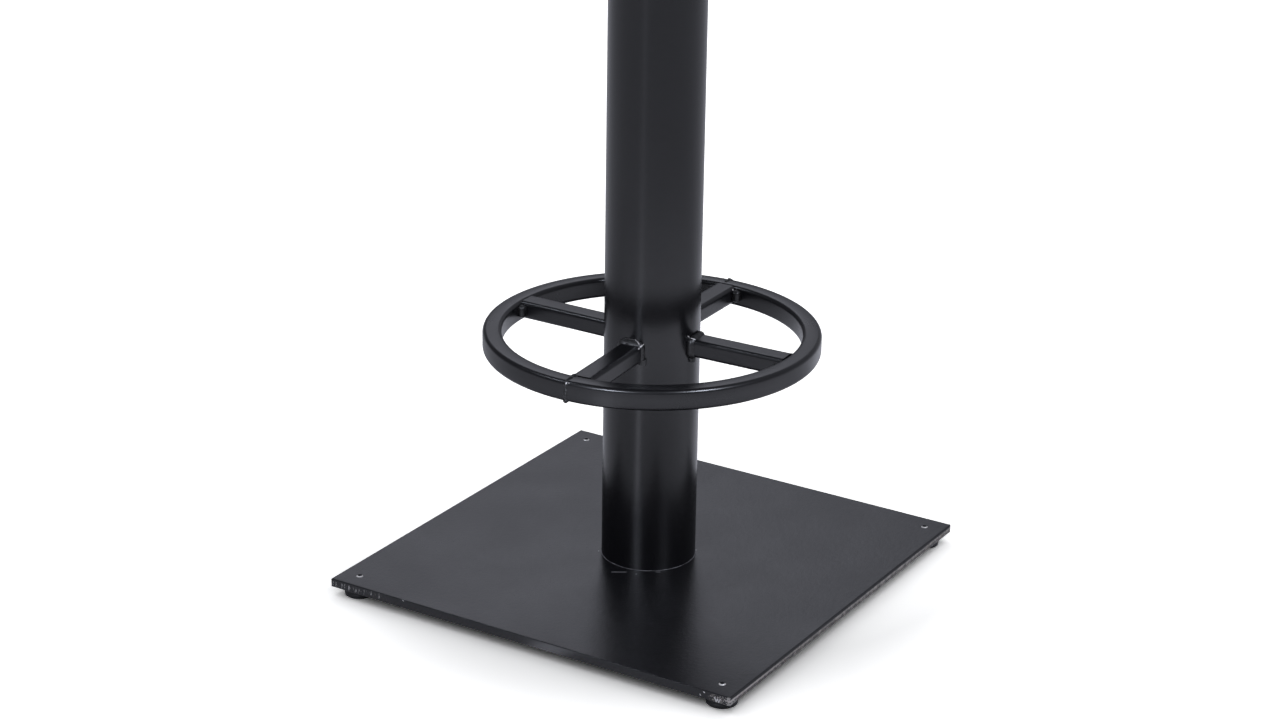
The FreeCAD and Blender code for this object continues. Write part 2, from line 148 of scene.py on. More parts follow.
class Finish(Sheet):  # a material's own sheet, with Object coordinates ready
    def __init__(self, name):
        self.material = bpy.data.materials.new(name)
        self.material.use_nodes = True
        super().__init__(self.material.node_tree)
        self.place = self.node("ShaderNodeTexCoord").part("Object")
        axes = self.node("ShaderNodeSeparateXYZ", None, {0: self.place})
        self.x, self.y, self.z = (axes.part(axis) for axis in "XYZ")

    def noise(self, scale, detail=3.0, roughness=0.5, place=None):
        return self.node("ShaderNodeTexNoise", None, {
            "Vector": place or self.place, "Scale": scale, "Detail": detail, "Roughness": roughness})

    def stretched(self, scale, shift=(0, 0, 0)):
        return self.node("ShaderNodeMapping", None, {"Vector": self.place, "Scale": scale, "Location": shift})

    def bump(self, height, distance, strength=1.0, under=None):
        return self.node("ShaderNodeBump", None,
                         {"Height": height, "Distance": distance, "Strength": strength, "Normal": under})

    def surface(self, colour, roughness, normal, metallic=0.0):
        shader = self.node("ShaderNodeBsdfPrincipled", None, {
            "Base Color": colour, "Roughness": roughness, "Metallic": metallic, "Normal": normal})
        self.node("ShaderNodeOutputMaterial", None, {"Surface": shader})
        return self.material


# the powder coat, plain and on welds

coat = {"colour": (0.0042, 0.0042, 0.0056), "paler": (0.0058, 0.0058, 0.0072), "dust": (0.02, 0.02, 0.021),
        "roughness": 0.215, "grainScale": 620.0, "grainDepth": 0.00011, "grain": 0.4}
nicks = {
    # bright: the nicks' colour, near-white with little metallic, a painted glint of bare steel
    "cut": (-0.485, 0.797, -0.360), "bright": (0.95, 0.94, 0.92), "toe": (0.16, 0.16, 0.16), "metallic": 0.1,
    "lines": [((0.0103, -0.0510, 0.2898), (0.0135, -0.0523, 0.2888), 0.0004),
              ((0.0135, -0.0523, 0.2888), (0.0164, -0.0537, 0.2874), 0.0006),
              ((0.0192, -0.0591, 0.2841), (0.0204, -0.0511, 0.2869), 0.0007),
              ((0.0510, -0.0103, 0.2901), (0.0531, -0.0097, 0.2882), 0.00045),
              ((0.0531, -0.0097, 0.2882), (0.0573, -0.0061, 0.2862), 0.0004),
              ((0.0080, -0.1824, 0.2836), (0.0083, -0.1822, 0.2842), 0.0006),
              ((0.0107, -0.1815, 0.2838), (0.0109, -0.1813, 0.2842), 0.0004),
              ((0.0089, 0.1583, 0.2829), (0.0095, 0.1578, 0.2833), 0.0009)],
    "toeLines": [((-0.0035, -0.0519, 0.2888), (0.0030, -0.0516, 0.2895), 0.0004),
                 ((0.0030, -0.0516, 0.2895), (0.0105, -0.0509, 0.2899), 0.0005)]}


def coatSurface(sheet, lumps=None, grain=coat["grain"]):  # colour, roughness and normal of the powder coat
    cloudy = sheet.noise(14.0, 4.0, 0.55)
    fine = sheet.noise(coat["grainScale"], 2.0, 0.6)
    dust = sheet.noise(260.0, 2.0, 0.5).step(0.70, 0.78) * 0.35
    colour = sheet.colours(cloudy.step(0.35, 0.7), coat["colour"], coat["paler"])
    colour = sheet.colours(dust, colour, coat["dust"])
    roughness = cloudy.step(0.3, 0.7) * 0.03 + fine * 0.04 + coat["roughness"]
    return colour, roughness, sheet.bump(fine, coat["grainDepth"], grain, lumps)


stroke = {"shakeScale": 900.0, "edge": (0.75, 1.2), "deep": 0.85}  # edge in half widths


def strokes(sheet, lines, shaken=0.0005, cut=None):
    # 1 on short scratches, each (start, end, half width) in metres; cut is the way they go in
    shake = sheet.noise(stroke["shakeScale"], 2.0, 0.6).part("Color")
    shake = sheet.vectors("SUBTRACT", shake, (0.5, 0.5, 0.5))
    place = sheet.vectors("ADD", sheet.place, sheet.scaled(shake, shaken))
    mask = None
    for start, end, half in lines:
        along = Vector(end) - Vector(start)
        fromStart = sheet.vectors("SUBTRACT", place, start)
        share = sheet.measure("DOT_PRODUCT", fromStart, tuple(along / along.length_squared))
        aside = sheet.vectors("SUBTRACT", fromStart, sheet.scaled(tuple(along), share.most(0.0).least(1.0)))
        if cut:
            deep = sheet.measure("DOT_PRODUCT", aside, cut) * stroke["deep"]
            aside = sheet.vectors("SUBTRACT", aside, sheet.scaled(cut, deep))
        here = 1 - sheet.measure("LENGTH", aside).step(*(half * edge for edge in stroke["edge"]))
        mask = mask.most(here) if mask else here
    return mask


def makePaintedWeld():
    sheet = Finish("paintedWeld")
    lump = sheet.noise(260.0, 3.0, 0.6)
    colour, roughness, normal = coatSurface(sheet, sheet.bump(lump, 0.0006, 0.6))
    return sheet.surface(colour, roughness - 0.06, normal)


def makeNickedCoat(name, rougher, grain=coat["grain"], dust=None):
    # the coat, knocked off in a few short nicks, painted near-white and barely metallic as painted glints of
    # the bare metal, and paler along a thin line at a weld's toe; welds give their dust too
    sheet = Finish(name)
    lumps = sheet.bump(sheet.noise(150.0, 2.0, 0.5), 0.0005, 0.5) if dust else None
    colour, roughness, normal = coatSurface(sheet, lumps, grain)
    if dust:
        dusty = sheet.noise(120.0, 3.0, 0.6).step(0.35, 0.65)
        colour = sheet.colours(dusty * 0.4 + 0.6, colour, (dust, dust, dust))
    toe = strokes(sheet, nicks["toeLines"], 0.0008, nicks["cut"])
    nick = strokes(sheet, nicks["lines"], 0.0005, nicks["cut"])
    colour = sheet.colours(nick, sheet.colours(toe, colour, nicks["toe"]), nicks["bright"])
    return sheet.surface(colour, roughness + rougher, normal, nick * nicks["metallic"])


# the base plate's finish

bareSteel = {"bright": (0.31, 0.290, 0.26), "dull": (0.030, 0.026, 0.022), "corner": (0.50, 0.49, 0.47),
             "edge": (0.52, 0.48, 0.46), "bruise": (0.26, 0.26, 0.26), "rust": (0.115, 0.085, 0.060),
             "fleck": (0.66, 0.66, 0.66), "scratch": (0.30, 0.30, 0.31), "roughness": 0.45, "metallic": 0.4}
plateWear = {
    "ticks": [(-0.2478, 0.0150, 0.0004), (-0.2440, 0.0152, 0.0005), (-0.2362, 0.0150, 0.0005),
              (-0.2322, 0.0158, 0.0004), (-0.2267, 0.0146, 0.0008), (-0.2172, 0.0150, 0.0005),
              (-0.2130, 0.0152, 0.0004), (-0.2063, 0.0155, 0.0005), (-0.1968, 0.0160, 0.0005),
              (-0.1861, 0.0163, 0.0006)],  # X, Z and half width on the front edge
    "tickRise": 0.0024, "tickLean": 0.0004,
    "dots": [((-0.1545, 0.0195), (-0.1535, 0.0192), 0.0006), ((0.2149, 0.0147), (0.2155, 0.0135), 0.0005),
             ((0.2190, 0.0183), (0.2200, 0.0179), 0.0006)],
    "zigzag": [(0.2322, 0.0155), (0.2338, 0.0112), (0.2352, 0.0148), (0.2368, 0.0110), (0.2384, 0.0155)],
    "zigzagWidth": 0.0005,
    # short pale marks on the top near the column's foot, set where small glints show
    "scratches": [((-0.0044, -0.0687), (0.0084, -0.0602), 0.0006),  # X and Y on the top
                  ((0.0202, -0.0585), (0.0207, -0.0582), 0.0008),
                  ((0.0358, -0.0421), (0.0394, -0.0397), 0.0006),
                  ((-0.0456, -0.0313), (-0.0456, -0.0308), 0.0008),
                  ((0.0434, 0.0308), (0.0434, 0.0313), 0.0008)]}


def makePlateSteel():  # the coat, with the cut edges worn to steel
    sheet = Finish("coatedPlate")
    colour, roughness, normal = coatSurface(sheet)
    onRight = sheet.x.step(plateHalf - 0.00025, plateHalf - 0.00005)
    onFront, onLeft, onBack = (way.step(plateHalf - 0.0005, plateHalf - 0.0001)
                               for way in (-sheet.y, -sheet.x, sheet.y))
    patch = sheet.noise(190.0, 5.0, 0.65)
    fleck = sheet.noise(520.0, 3.0, 0.6)
    depth = plateTop - sheet.z

    def frontStrokes(lines, shaken):
        return strokes(sheet, [((x, -plateHalf, z), (toX, -plateHalf, toZ), wide)
                               for (x, z), (toX, toZ), wide in lines], shaken)

    rise, lean, bends = plateWear["tickRise"], plateWear["tickLean"], plateWear["zigzag"]
    ticks = [((x, z - rise), (x + lean, z + rise), wide) for x, z, wide in plateWear["ticks"]]
    ticks = frontStrokes(ticks, 0.0030) * fleck.step(0.40, 0.52)
    bruised = sheet.noise(620.0, 2.0, 0.6, sheet.stretched((1.0, 1.0, 0.4))).step(0.55, 0.63)
    bruised = bruised * (-sheet.x).step(0.165, 0.215) * depth.step(0.0012, 0.0032) * patch.step(0.36, 0.46)
    dots = frontStrokes(plateWear["dots"], 0.0010)
    zigzag = frontStrokes([(*pair, plateWear["zigzagWidth"]) for pair in zip(bends, bends[1:])], 0.0010)
    flecks = ticks.most(dots).most(zigzag)
    cornerWorn = sheet.x.step(0.222, 0.230) * fleck.step(0.48, 0.56) * depth.step(0.0008, 0.0016)
    frontWorn = (ticks * 0.7).most(bruised * 0.6).most(dots).most(cornerWorn).most(zigzag)
    frontWorn = frontWorn.most(sheet.x.step(0.2462, 0.2472))
    line = depth.step(0.0034, 0.0040) * (1 - depth.step(0.0050, 0.0064))  # brightest just under the top edge
    rightWorn = (fleck + line * 0.12).step(0.36, 0.50) * depth.step(0.0030, 0.0036)
    otherWorn = (onLeft + onBack) * patch.step(0.62, 0.68)
    worn = (onRight * rightWorn).most(onFront * frontWorn).most(otherWorn)

    nearCorner = sheet.x.step(0.226, 0.249) * (-sheet.y).step(0.226, 0.249)
    shine = line * 0.45 + patch.step(0.46, 0.58) * 0.60 + fleck.step(0.50, 0.62) * 0.35
    steel = sheet.colours(shine.least(1.0), bareSteel["dull"], bareSteel["bright"])
    for tone, mask in (("corner", nearCorner * fleck.step(0.40, 0.56) * 0.7),
                       ("edge", line * (-sheet.y).step(0.10, 0.245) * 0.8),
                       ("bruise", bruised * (1 - onRight) * 0.7),
                       ("rust", sheet.noise(60.0, 3.0, 0.6).step(0.50, 0.70) * 0.5),
                       ("fleck", flecks)):
        steel = sheet.colours(mask, steel, bareSteel[tone])
    rolled = (depth / 0.0030).least(1.0) * onRight  # the cut turned the top edge over
    torn = sheet.bump(patch, 0.0004, 0.5, sheet.bump(rolled, 0.0014, 1.0, normal))
    # the pale marks on the top, in bareSteel's scratch colour
    topMarked = strokes(sheet, [((*start, plateTop), (*end, plateTop), wide)
                                for start, end, wide in plateWear["scratches"]], 0.0009)
    colour = sheet.colours(topMarked, sheet.colours(worn, colour, steel), bareSteel["scratch"])
    roughness = (roughness + 0.045) * (1 - worn) + worn * bareSteel["roughness"]
    return sheet.surface(colour, roughness, torn, worn * bareSteel["metallic"])


# the smaller finishes; each has a dark and a pale tone

# the foot line's dark and pale tones: its pale patches are a painted highlight
tones = {"rubbed": ((0.02, 0.02, 0.022), (0.20, 0.20, 0.21)),
         "zinc": ((0.50, 0.51, 0.54), (0.68, 0.69, 0.71)),
         "stud": ((0.80, 0.79, 0.76), (0.96, 0.95, 0.91)),
         "nylon": ((0.004, 0.004, 0.0045), (0.03, 0.029, 0.027)),
         "backing": ((0.018, 0.018, 0.019), (0.028, 0.028, 0.030)),
         "edgeBand": ((0.014, 0.014, 0.015), (0.024, 0.024, 0.026))}
studEnd = {"colour": (0.006, 0.006, 0.007), "radius": 0.0026, "lowest": 0.015}


def makeFootLineHighlight():  # the column's foot line: a thin bead of coat, painted pale in patches as a painted highlight along it
    sheet = Finish("footLineHighlight")
    patchy = sheet.noise(75.0, 3.0, 0.6)
    colour = sheet.colours(patchy.step(0.34, 0.62), *tones["rubbed"])
    return sheet.surface(colour, 0.4 + patchy * 0.1, sheet.bump(sheet.noise(700.0), 0.0002, 0.6))


def makeZincSteel():
    sheet = Finish("zincSteel")
    cloud = sheet.noise(180.0, 3.0, 0.55)
    scratch = sheet.noise(420.0, 2.0, 0.5, sheet.stretched((1.0, 1.0, 9.0)))
    return sheet.surface(sheet.colours(cloud, *tones["zinc"]), 0.20 + scratch * 0.16,
                         sheet.bump(scratch, 0.00005, 0.4), 1.0)


def makeStudSteel():  # bright turned sides; the end itself is coloured near black
    sheet = Finish("studSteel")
    cloud = sheet.noise(240.0, 3.0, 0.55)
    across, along = abs(sheet.x) - glideReach, abs(sheet.y) - glideReach
    fromAxis = (across * across + along * along).math("SQRT")
    end = 1 - fromAxis.step(studEnd["radius"] - 0.00005, studEnd["radius"] + 0.00005)
    end = end * sheet.z.step(studEnd["lowest"] - 0.001, studEnd["lowest"] + 0.001)
    colour = sheet.colours(end, sheet.colours(cloud, *tones["stud"]), studEnd["colour"])
    roughness = 0.22 + cloud * 0.1 + end * 0.2
    return sheet.surface(colour, roughness, sheet.bump(cloud, 0.00004, 0.3), (1 - end) * 0.15)


def makeNylon():
    sheet = Finish("blackNylon")
    grain = sheet.noise(1400.0, 2.0, 0.6)
    cloud = sheet.noise(60.0, 3.0, 0.5)
    dusty = (1 - sheet.z.step(0.0, 0.003)) * cloud.step(0.4, 0.7) * 0.4
    return sheet.surface(sheet.colours(dusty, *tones["nylon"]), 0.40 + cloud * 0.12,
                         sheet.bump(grain, 0.00005, 0.5))


def makeBackingLaminate():
    sheet = Finish("blackBackingLaminate")
    grain = sheet.noise(700.0, 3.0, 0.6)
    cloud = sheet.noise(9.0, 3.0, 0.5)
    return sheet.surface(sheet.colours(cloud, *tones["backing"]), 0.46 + cloud * 0.1,
                         sheet.bump(grain, 0.00008, 0.5))


def makeEdgeBand():
    sheet = Finish("blackEdgeBand")
    grain = sheet.noise(1100.0, 2.0, 0.6)
    ribs = sheet.noise(60.0, 2.0, 0.5, sheet.stretched((1.0, 1.0, 22.0)))
    return sheet.surface(sheet.colours(ribs, *tones["edgeBand"]), 0.36 + ribs * 0.08,
                         sheet.bump(grain, 0.00004, 0.4, sheet.bump(ribs, 0.00008, 0.4)))


# the top's wood

wood = {"dark": (0.045, 0.022, 0.012), "middle": (0.105, 0.053, 0.027), "pale": (0.165, 0.090, 0.047),
        "heart": (-0.05, 0.085), "slope": 0.13, "ringsPerMetre": 120.0}
board = {"dark": (0.16, 0.10, 0.055), "middle": (0.36, 0.26, 0.16), "pale": (0.52, 0.42, 0.29),
         "chips": 420.0}


def makeWoodLaminate():  # crown-cut walnut: growth rings round a slightly sloping heart
    sheet = Finish("walnutLaminate")
    wander = sheet.noise(1.4, 2.0, 0.4, sheet.stretched((0.8, 2.2, 2.2))) - 0.5
    fibre = sheet.noise(1.0, 4.0, 0.65, sheet.stretched((7.0, 330.0, 330.0)))
    pores = sheet.noise(1.0, 2.0, 0.5, sheet.stretched((34.0, 900.0, 900.0))).step(0.58, 0.68)
    across = sheet.y + wander * 0.07 - wood["heart"][0]
    depth = sheet.x * wood["slope"] + wander * 0.02 + wood["heart"][1]
    rings = (across * across + depth * depth).math("SQRT") * wood["ringsPerMetre"]
    late = (rings + fibre * 0.25).math("FRACT").step(0.10, 1.0)
    year = sheet.node("ShaderNodeCombineXYZ", None, {0: rings})
    year = sheet.noise(1.0, place=sheet.vectors("MULTIPLY", year, (0.37, 0, 0)))
    late = late * late * (year * 1.4)
    slow = sheet.noise(1.0, 3.0, 0.55, sheet.stretched((2.0, 30.0, 30.0), (0.4, 0.2, 0)))
    tone = 0.30 + slow * 0.62 + fibre * 0.34 - late * 0.36
    colour = sheet.ramp([(0.22, wood["dark"]), (0.5, wood["middle"]), (0.80, wood["pale"])], tone)
    colour = sheet.colours(pores * 0.45, colour, wood["dark"])
    roughness = 0.34 + pores * 0.16 + fibre * 0.06
    return sheet.surface(colour, roughness, sheet.bump(fibre * 0.5 - pores, 0.00005, 0.35))


def makeParticleBoard():
    sheet = Finish("particleBoard")
    chips = sheet.node("ShaderNodeTexVoronoi", None,
                       {"Vector": sheet.stretched((1.0, 0.5, 2.0)), "Scale": board["chips"]})
    shade = sheet.node("ShaderNodeSeparateColor", None, {0: chips.part("Color")})
    fleck = sheet.noise(500.0, 3.0, 0.6)
    colour = sheet.ramp([(0.0, board["dark"]), (0.5, board["middle"]), (1.0, board["pale"])],
                        shade * 0.7 + fleck * 0.3)
    return sheet.surface(colour, 0.75 + fleck * 0.1, sheet.bump(chips, 0.0003, 0.7))


finish = {
    "powderCoat": makeNickedCoat("powderCoat", 0.0),
    "spokeCoat": makeNickedCoat("spokeCoat", 0.05),
    "ringCoat": makeNickedCoat("ringCoat", 0.04, 0.15),
    "weld": makePaintedWeld(),
    "nickedWeld": makeNickedCoat("nickedWeld", 0.08, dust=0.018),
    # the front root weld is paler and rougher than the other three
    "paleRootWeld": makeNickedCoat("paleRootWeld", 0.22, dust=0.034),
    "darkRootWeld": makeNickedCoat("darkRootWeld", 0.16, dust=0.014),
    "plate": makePlateSteel(), "rubbed": makeFootLineHighlight(), "zinc": makeZincSteel(), "stud": makeStudSteel(),
    "nylon": makeNylon(), "wood": makeWoodLaminate(), "backing": makeBackingLaminate(),
    "edgeBand": makeEdgeBand(), "board": makeParticleBoard()}
print("finishes:", len(finish))


# meshes

def tidyMesh(mesh, smoothAngle=32.0):
    work = bmesh.new()
    work.from_mesh(mesh)
    bmesh.ops.remove_doubles(work, verts=work.verts, dist=1e-7)
    bmesh.ops.recalc_face_normals(work, faces=work.faces)
    work.to_mesh(mesh)
    work.free()
    mesh.shade_smooth()
    mesh.set_sharp_from_angle(angle=math.radians(smoothAngle))


def linked(name, data):
    made = bpy.data.objects.new(name, data)
    bpy.context.scene.collection.objects.link(made)
    return made


def skin(name, loops, closed=False):  # joins the loops in turn; the ends get caps unless the stack is closed
    points, faces, rings = [], [], []
    for loop in loops:
        rings.append(range(len(points), len(points) + len(loop)))
        points += loop
    for low, high in zip(rings, rings[1:] + (rings[:1] if closed else [])):
        count = max(len(low), len(high))
        for k in range(count):
            on = (k + 1) % count
            face = low[k % len(low)], low[on % len(low)], high[on % len(high)], high[k % len(high)]
            faces.append(tuple(dict.fromkeys(face)))  # a loop of one point gives triangles
    if not closed:
        faces += [tuple(ring) for ring in (rings[0], rings[-1]) if len(ring) > 2]
    mesh = bpy.data.meshes.new(name)
    mesh.from_pydata(points, [], faces)
    tidyMesh(mesh)
    return linked(name, mesh)


def softened(corners, steps=4):  # a closed profile of (across, up, rounding radius), its corners rounded
    made = []
    for k, (across, up, radius) in enumerate(corners):
        if not radius:
            made.append((across, up))
            continue
        here = Vector((across, up))
        back = (Vector(corners[k - 1][:2]) - here).normalized()
        on = (Vector(corners[(k + 1) % len(corners)][:2]) - here).normalized()
        opening = back.angle(on)
        reach = radius / math.tan(opening / 2)
        hub = here + (back + on).normalized() * radius / math.sin(opening / 2)
        start, end = here + back * reach - hub, here + on * reach - hub
        sweep = start.angle_signed(end)
        made += [tuple(hub + Matrix.Rotation(-sweep * step / steps, 2) @ start) for step in range(steps + 1)]
    return made


def circle(radius, centre=(0.0, 0.0), count=48, sides=0):  # with sides, a polygon of this radius to its flats
    loop = []
    for k in range(count):
        angle = math.tau * k / count
        reach = radius / math.cos(angle % (math.tau / sides) - math.pi / sides) if sides else radius
        loop.append((centre[0] + reach * math.cos(angle), centre[1] + reach * math.sin(angle)))
    return loop


def raised(loop, height):
    return [(x, y, height) for x, y in loop]


def turned(profile, centre=(0.0, 0.0), count=48):
    # a loop for each (radius, height) or (radius, height, sides); a radius of 0 gives a point
    return [raised(circle(radius, centre, count if radius else 1, *sides), height)
            for radius, height, *sides in profile]


def roundedRectangle(width, height, corner, steps=6, centre=(0.0, 0.0)):
    points = []
    for across, up, start in ((1, -1, -90), (1, 1, 0), (-1, 1, 90), (-1, -1, 180)):
        hubX, hubY = centre[0] + across * (width / 2 - corner), centre[1] + up * (height / 2 - corner)
        for step in range(steps + 1):
            angle = math.radians(start + 90 * step / steps)
            points.append((hubX + corner * math.cos(angle), hubY + corner * math.sin(angle)))
    return points


def divided(loop, spacing):  # a closed loop with points added, about one each spacing
    made = []
    for here, on in zip(map(Vector, loop), map(Vector, loop[1:] + loop[:1])):
        pieces = max(1, round((here - on).length / spacing))
        made += [tuple(here.lerp(on, k / pieces)) for k in range(pieces)]
    return made


def holedPlate(name, walls, smoothAngle=40.0):
    # walls: the outer wall and one for each hole, each a list of (loop of points, height) from top to bottom
    work = bmesh.new()
    ends = {0: [], -1: []}
    for levels in walls:
        rings = [[work.verts.new(point) for point in raised(*level)] for level in levels]
        for upper, lower in zip(rings, rings[1:]):
            for k in range(len(upper)):
                on = (k + 1) % len(upper)
                work.faces.new((upper[k], upper[on], lower[on], lower[k]))
        for end, edges in ends.items():
            ring = rings[end]
            edges += [work.edges.get(pair) for pair in zip(ring, ring[1:] + ring[:1])]
    for edges in ends.values():
        bmesh.ops.triangle_fill(work, use_beauty=True, use_dissolve=False, edges=edges)
    mesh = bpy.data.meshes.new(name)
    work.to_mesh(mesh)
    work.free()
    tidyMesh(mesh, smoothAngle)
    piece = linked(name, mesh)
    flat = piece.modifiers.new("flatFaces", "WEIGHTED_NORMAL")
    flat.keep_sharp = True
    flat.weight = 100
    return piece


def edgeLevels(makeLoop, top, bottom, rounding, steps=3):  # a wall's levels, its two edges rounded
    quarter = [math.pi / 2 * k / steps for k in range(steps + 1)]
    upper = [(makeLoop(rounding * (1 - math.sin(a))), top - rounding * (1 - math.cos(a))) for a in quarter]
    lower = [(makeLoop(rounding * (1 - math.cos(a))), bottom + rounding * (1 - math.sin(a))) for a in quarter]
    return upper + lower


def finishPiece(piece, body, look, slotName, *replaced):
    if not piece.data.materials:
        piece.data.materials.append(finish[look])
    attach(piece, body)
    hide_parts(*replaced)


# geometry trees

def geometryTree(name, inputs):
    tree = bpy.data.node_groups.new(name, "GeometryNodeTree")
    for label, kind, amount in [("Geometry", "Geometry", None)] + inputs:
        made = tree.interface.new_socket(label, in_out="INPUT", socket_type="NodeSocket" + kind)
        if amount is not None:
            made.default_value = amount
    tree.interface.new_socket("Geometry", in_out="OUTPUT", socket_type="NodeSocketGeometry")
    sheet = Sheet(tree)
    return tree, sheet, sheet.node("NodeGroupInput")


def finishTree(sheet, shape, given):  # every tree ends in plain geometry with its finish
    shape = sheet.node("GeometryNodeRealizeInstances", None, {0: shape})
    shape = sheet.node("GeometryNodeSetMaterial", None, {"Geometry": shape, "Material": given.part("Finish")})
    sheet.node("NodeGroupOutput", None, {0: shape})


def grow(name, base, tree, **inputs):
    # runs a tree on base and keeps its result; inputs go by their names without the spaces
    modifier = base.modifiers.new(tree.name, "NODES")
    modifier.node_group = tree
    for item in tree.interface.items_tree:
        label = item.name.replace(" ", "")
        if item.in_out == "INPUT" and label in inputs:
            modifier[item.identifier] = inputs[label]
    depsgraph = bpy.context.evaluated_depsgraph_get()
    mesh = bpy.data.meshes.new_from_object(base.evaluated_get(depsgraph), preserve_all_data_layers=True,
                                           depsgraph=depsgraph)
    bpy.data.objects.remove(base)
    mesh.name = name
    return linked(name, mesh)


def pathObject(paths):  # edges along each path; a path is (points, closed) or (points, closed, swell)
    points, edges, swells = [], [], []
    for path, closed, *swell in paths:
        first = len(points)
        points += path
        swells += [swell[0] if swell else 0.0] * len(path)
        edges += [(k, k + 1) for k in range(first, len(points) - 1)]
        if closed:
            edges.append((len(points) - 1, first))
    mesh = bpy.data.meshes.new("path")
    mesh.from_pydata(points, edges, [])
    mesh.attributes.new("swell", "FLOAT", "POINT").data.foreach_set("value", swells)
    return linked("path", mesh)


ripples = {"points": 6.0, "crest": 0.35, "curve": 2.4,  # points to a ripple, its crest's place and curve
           "endRound": 7.0, "patchScale": 260.0, "driftScale": 190.0, "driftSeed": 7.0, "sides": 14}


def makeBeadTree():  # a weld bead laid along a path: overlapping ripples, uneven width, round ends
    tree, sheet, given = geometryTree("weldBead", [
        ("Radius", "Float", 0.003), ("Ripple Spacing", "Float", 0.0022), ("Ripple Depth", "Float", 0.16),
        ("Unevenness", "Float", 0.2), ("Wander", "Float", 0.0004), ("End Taper", "Float", 0.0),
        ("Seed", "Float", 1.0), ("Finish", "Material", None)])
    place = sheet.node("GeometryNodeInputPosition")

    def uneven(scale, detail, seedShift, output):
        return sheet.node("ShaderNodeTexNoise", {"noise_dimensions": "4D"}, {
            "Vector": place, "W": given.part("Seed") + seedShift, "Scale": scale, "Detail": detail}, output)

    line = sheet.node("GeometryNodeMeshToCurve", None, {"Mesh": given})
    line = sheet.node("GeometryNodeResampleCurve", {"mode": "LENGTH"},
                      {"Curve": line, "Length": given.part("Ripple Spacing") / ripples["points"]})
    along = sheet.node("GeometryNodeSplineParameter")
    patchy = uneven(ripples["patchScale"], 2.0, 0.0, 0)
    drift = uneven(ripples["driftScale"], 1.0, ripples["driftSeed"], 1)
    drift = sheet.vectors("SUBTRACT", drift, (0.5, 0.5, 0.5))
    ripple = (along.part("Length") / given.part("Ripple Spacing")).math("FRACT") - ripples["crest"]
    ripple = 1 - given.part("Ripple Depth") * (ripple * ripple * ripples["curve"])
    fromEnd = along.part("Factor").least(1 - along.part("Factor"))
    blunt = 1 - given.part("End Taper") * (1 - (fromEnd * ripples["endRound"]).least(1.0).math("SQRT"))
    swell = sheet.node("GeometryNodeInputNamedAttribute", {"data_type": "FLOAT"},
                       {"Name": "swell"}, "Attribute")
    width = 1 + (patchy - 0.5) * 2.0 * given.part("Unevenness") + swell
    width = given.part("Radius") * ripple * blunt * width
    drift = sheet.vectors("MULTIPLY", drift, sheet.evenly(given.part("Wander") * 2.0))
    line = sheet.node("GeometryNodeSetPosition", None, {"Geometry": line, "Offset": drift})
    rim = sheet.node("GeometryNodeCurvePrimitiveCircle", None,
                     {"Resolution": ripples["sides"], "Radius": 1.0})
    bead = sheet.node("GeometryNodeCurveToMesh", None,
                      {"Curve": line, "Profile Curve": rim, "Scale": width, "Fill Caps": True})
    finishTree(sheet, sheet.node("GeometryNodeSetShadeSmooth", None, {"Geometry": bead}), given)
    return tree


def makeFastenerTree():  # one fastener at each point, each turned its own way
    tree, sheet, given = geometryTree("fasteners", [
        ("Fastener", "Object", None), ("Seed", "Int", 3), ("Finish", "Material", None)])
    shape = sheet.node("GeometryNodeObjectInfo", None, {"Object": given.part("Fastener")}, "Geometry")
    turn = sheet.node("FunctionNodeRandomValue", {"data_type": "FLOAT"},
                      {2: 0.0, 3: math.tau, "Seed": given.part("Seed")}, output=1)
    turn = sheet.node("ShaderNodeCombineXYZ", None, {"Z": turn})
    shapes = sheet.node("GeometryNodeInstanceOnPoints", None,
                        {"Points": given, "Instance": shape, "Rotation": turn})
    finishTree(sheet, shapes, given)
    return tree


def makeRolledTubeTree():  # a rounded rectangular tube rolled to an arc round Z
    tree, sheet, given = geometryTree("rolledTube", [
        ("Middle Radius", "Float", 0.17), ("Tube Width", "Float", 0.02), ("Tube Height", "Float", 0.02),
        ("Tube Corner", "Float", 0.004), ("Start Angle", "Float", 0.0), ("Sweep Angle", "Float", math.pi),
        ("Height", "Float", 0.27), ("Steps", "Int", 120), ("Finish", "Material", None)])
    arc = sheet.node("GeometryNodeCurveArc", {"mode": "RADIUS"}, {
        "Resolution": given.part("Steps"), "Radius": given.part("Middle Radius"),
        "Start Angle": given.part("Start Angle"), "Sweep Angle": given.part("Sweep Angle")})
    lift = sheet.node("ShaderNodeCombineXYZ", None, {"Z": given.part("Height")})
    arc = sheet.node("GeometryNodeSetPosition", None, {"Geometry": arc, "Offset": lift})
    arc = sheet.node("GeometryNodeSetCurveNormal", {"mode": "Z_UP"}, {"Curve": arc})
    section = sheet.node("GeometryNodeCurvePrimitiveQuadrilateral", {"mode": "RECTANGLE"},
                         {"Width": given.part("Tube Width"), "Height": given.part("Tube Height")})
    section = sheet.node("GeometryNodeFilletCurve", {"mode": "POLY"},
                         {"Curve": section, "Count": 7, "Radius": given.part("Tube Corner")})
    tube = sheet.node("GeometryNodeCurveToMesh", None,
                      {"Curve": arc, "Profile Curve": section, "Fill Caps": True})
    finishTree(sheet, tube, given)
    return tree


beadTree, fastenerTree, rolledTubeTree = makeBeadTree(), makeFastenerTree(), makeRolledTubeTree()


def aroundZ(points, degrees, height):
    placed = Matrix.Translation((0, 0, height)) @ Matrix.Rotation(math.radians(degrees), 4, "Z")
    return [tuple(placed @ Vector(point)) for point in points]


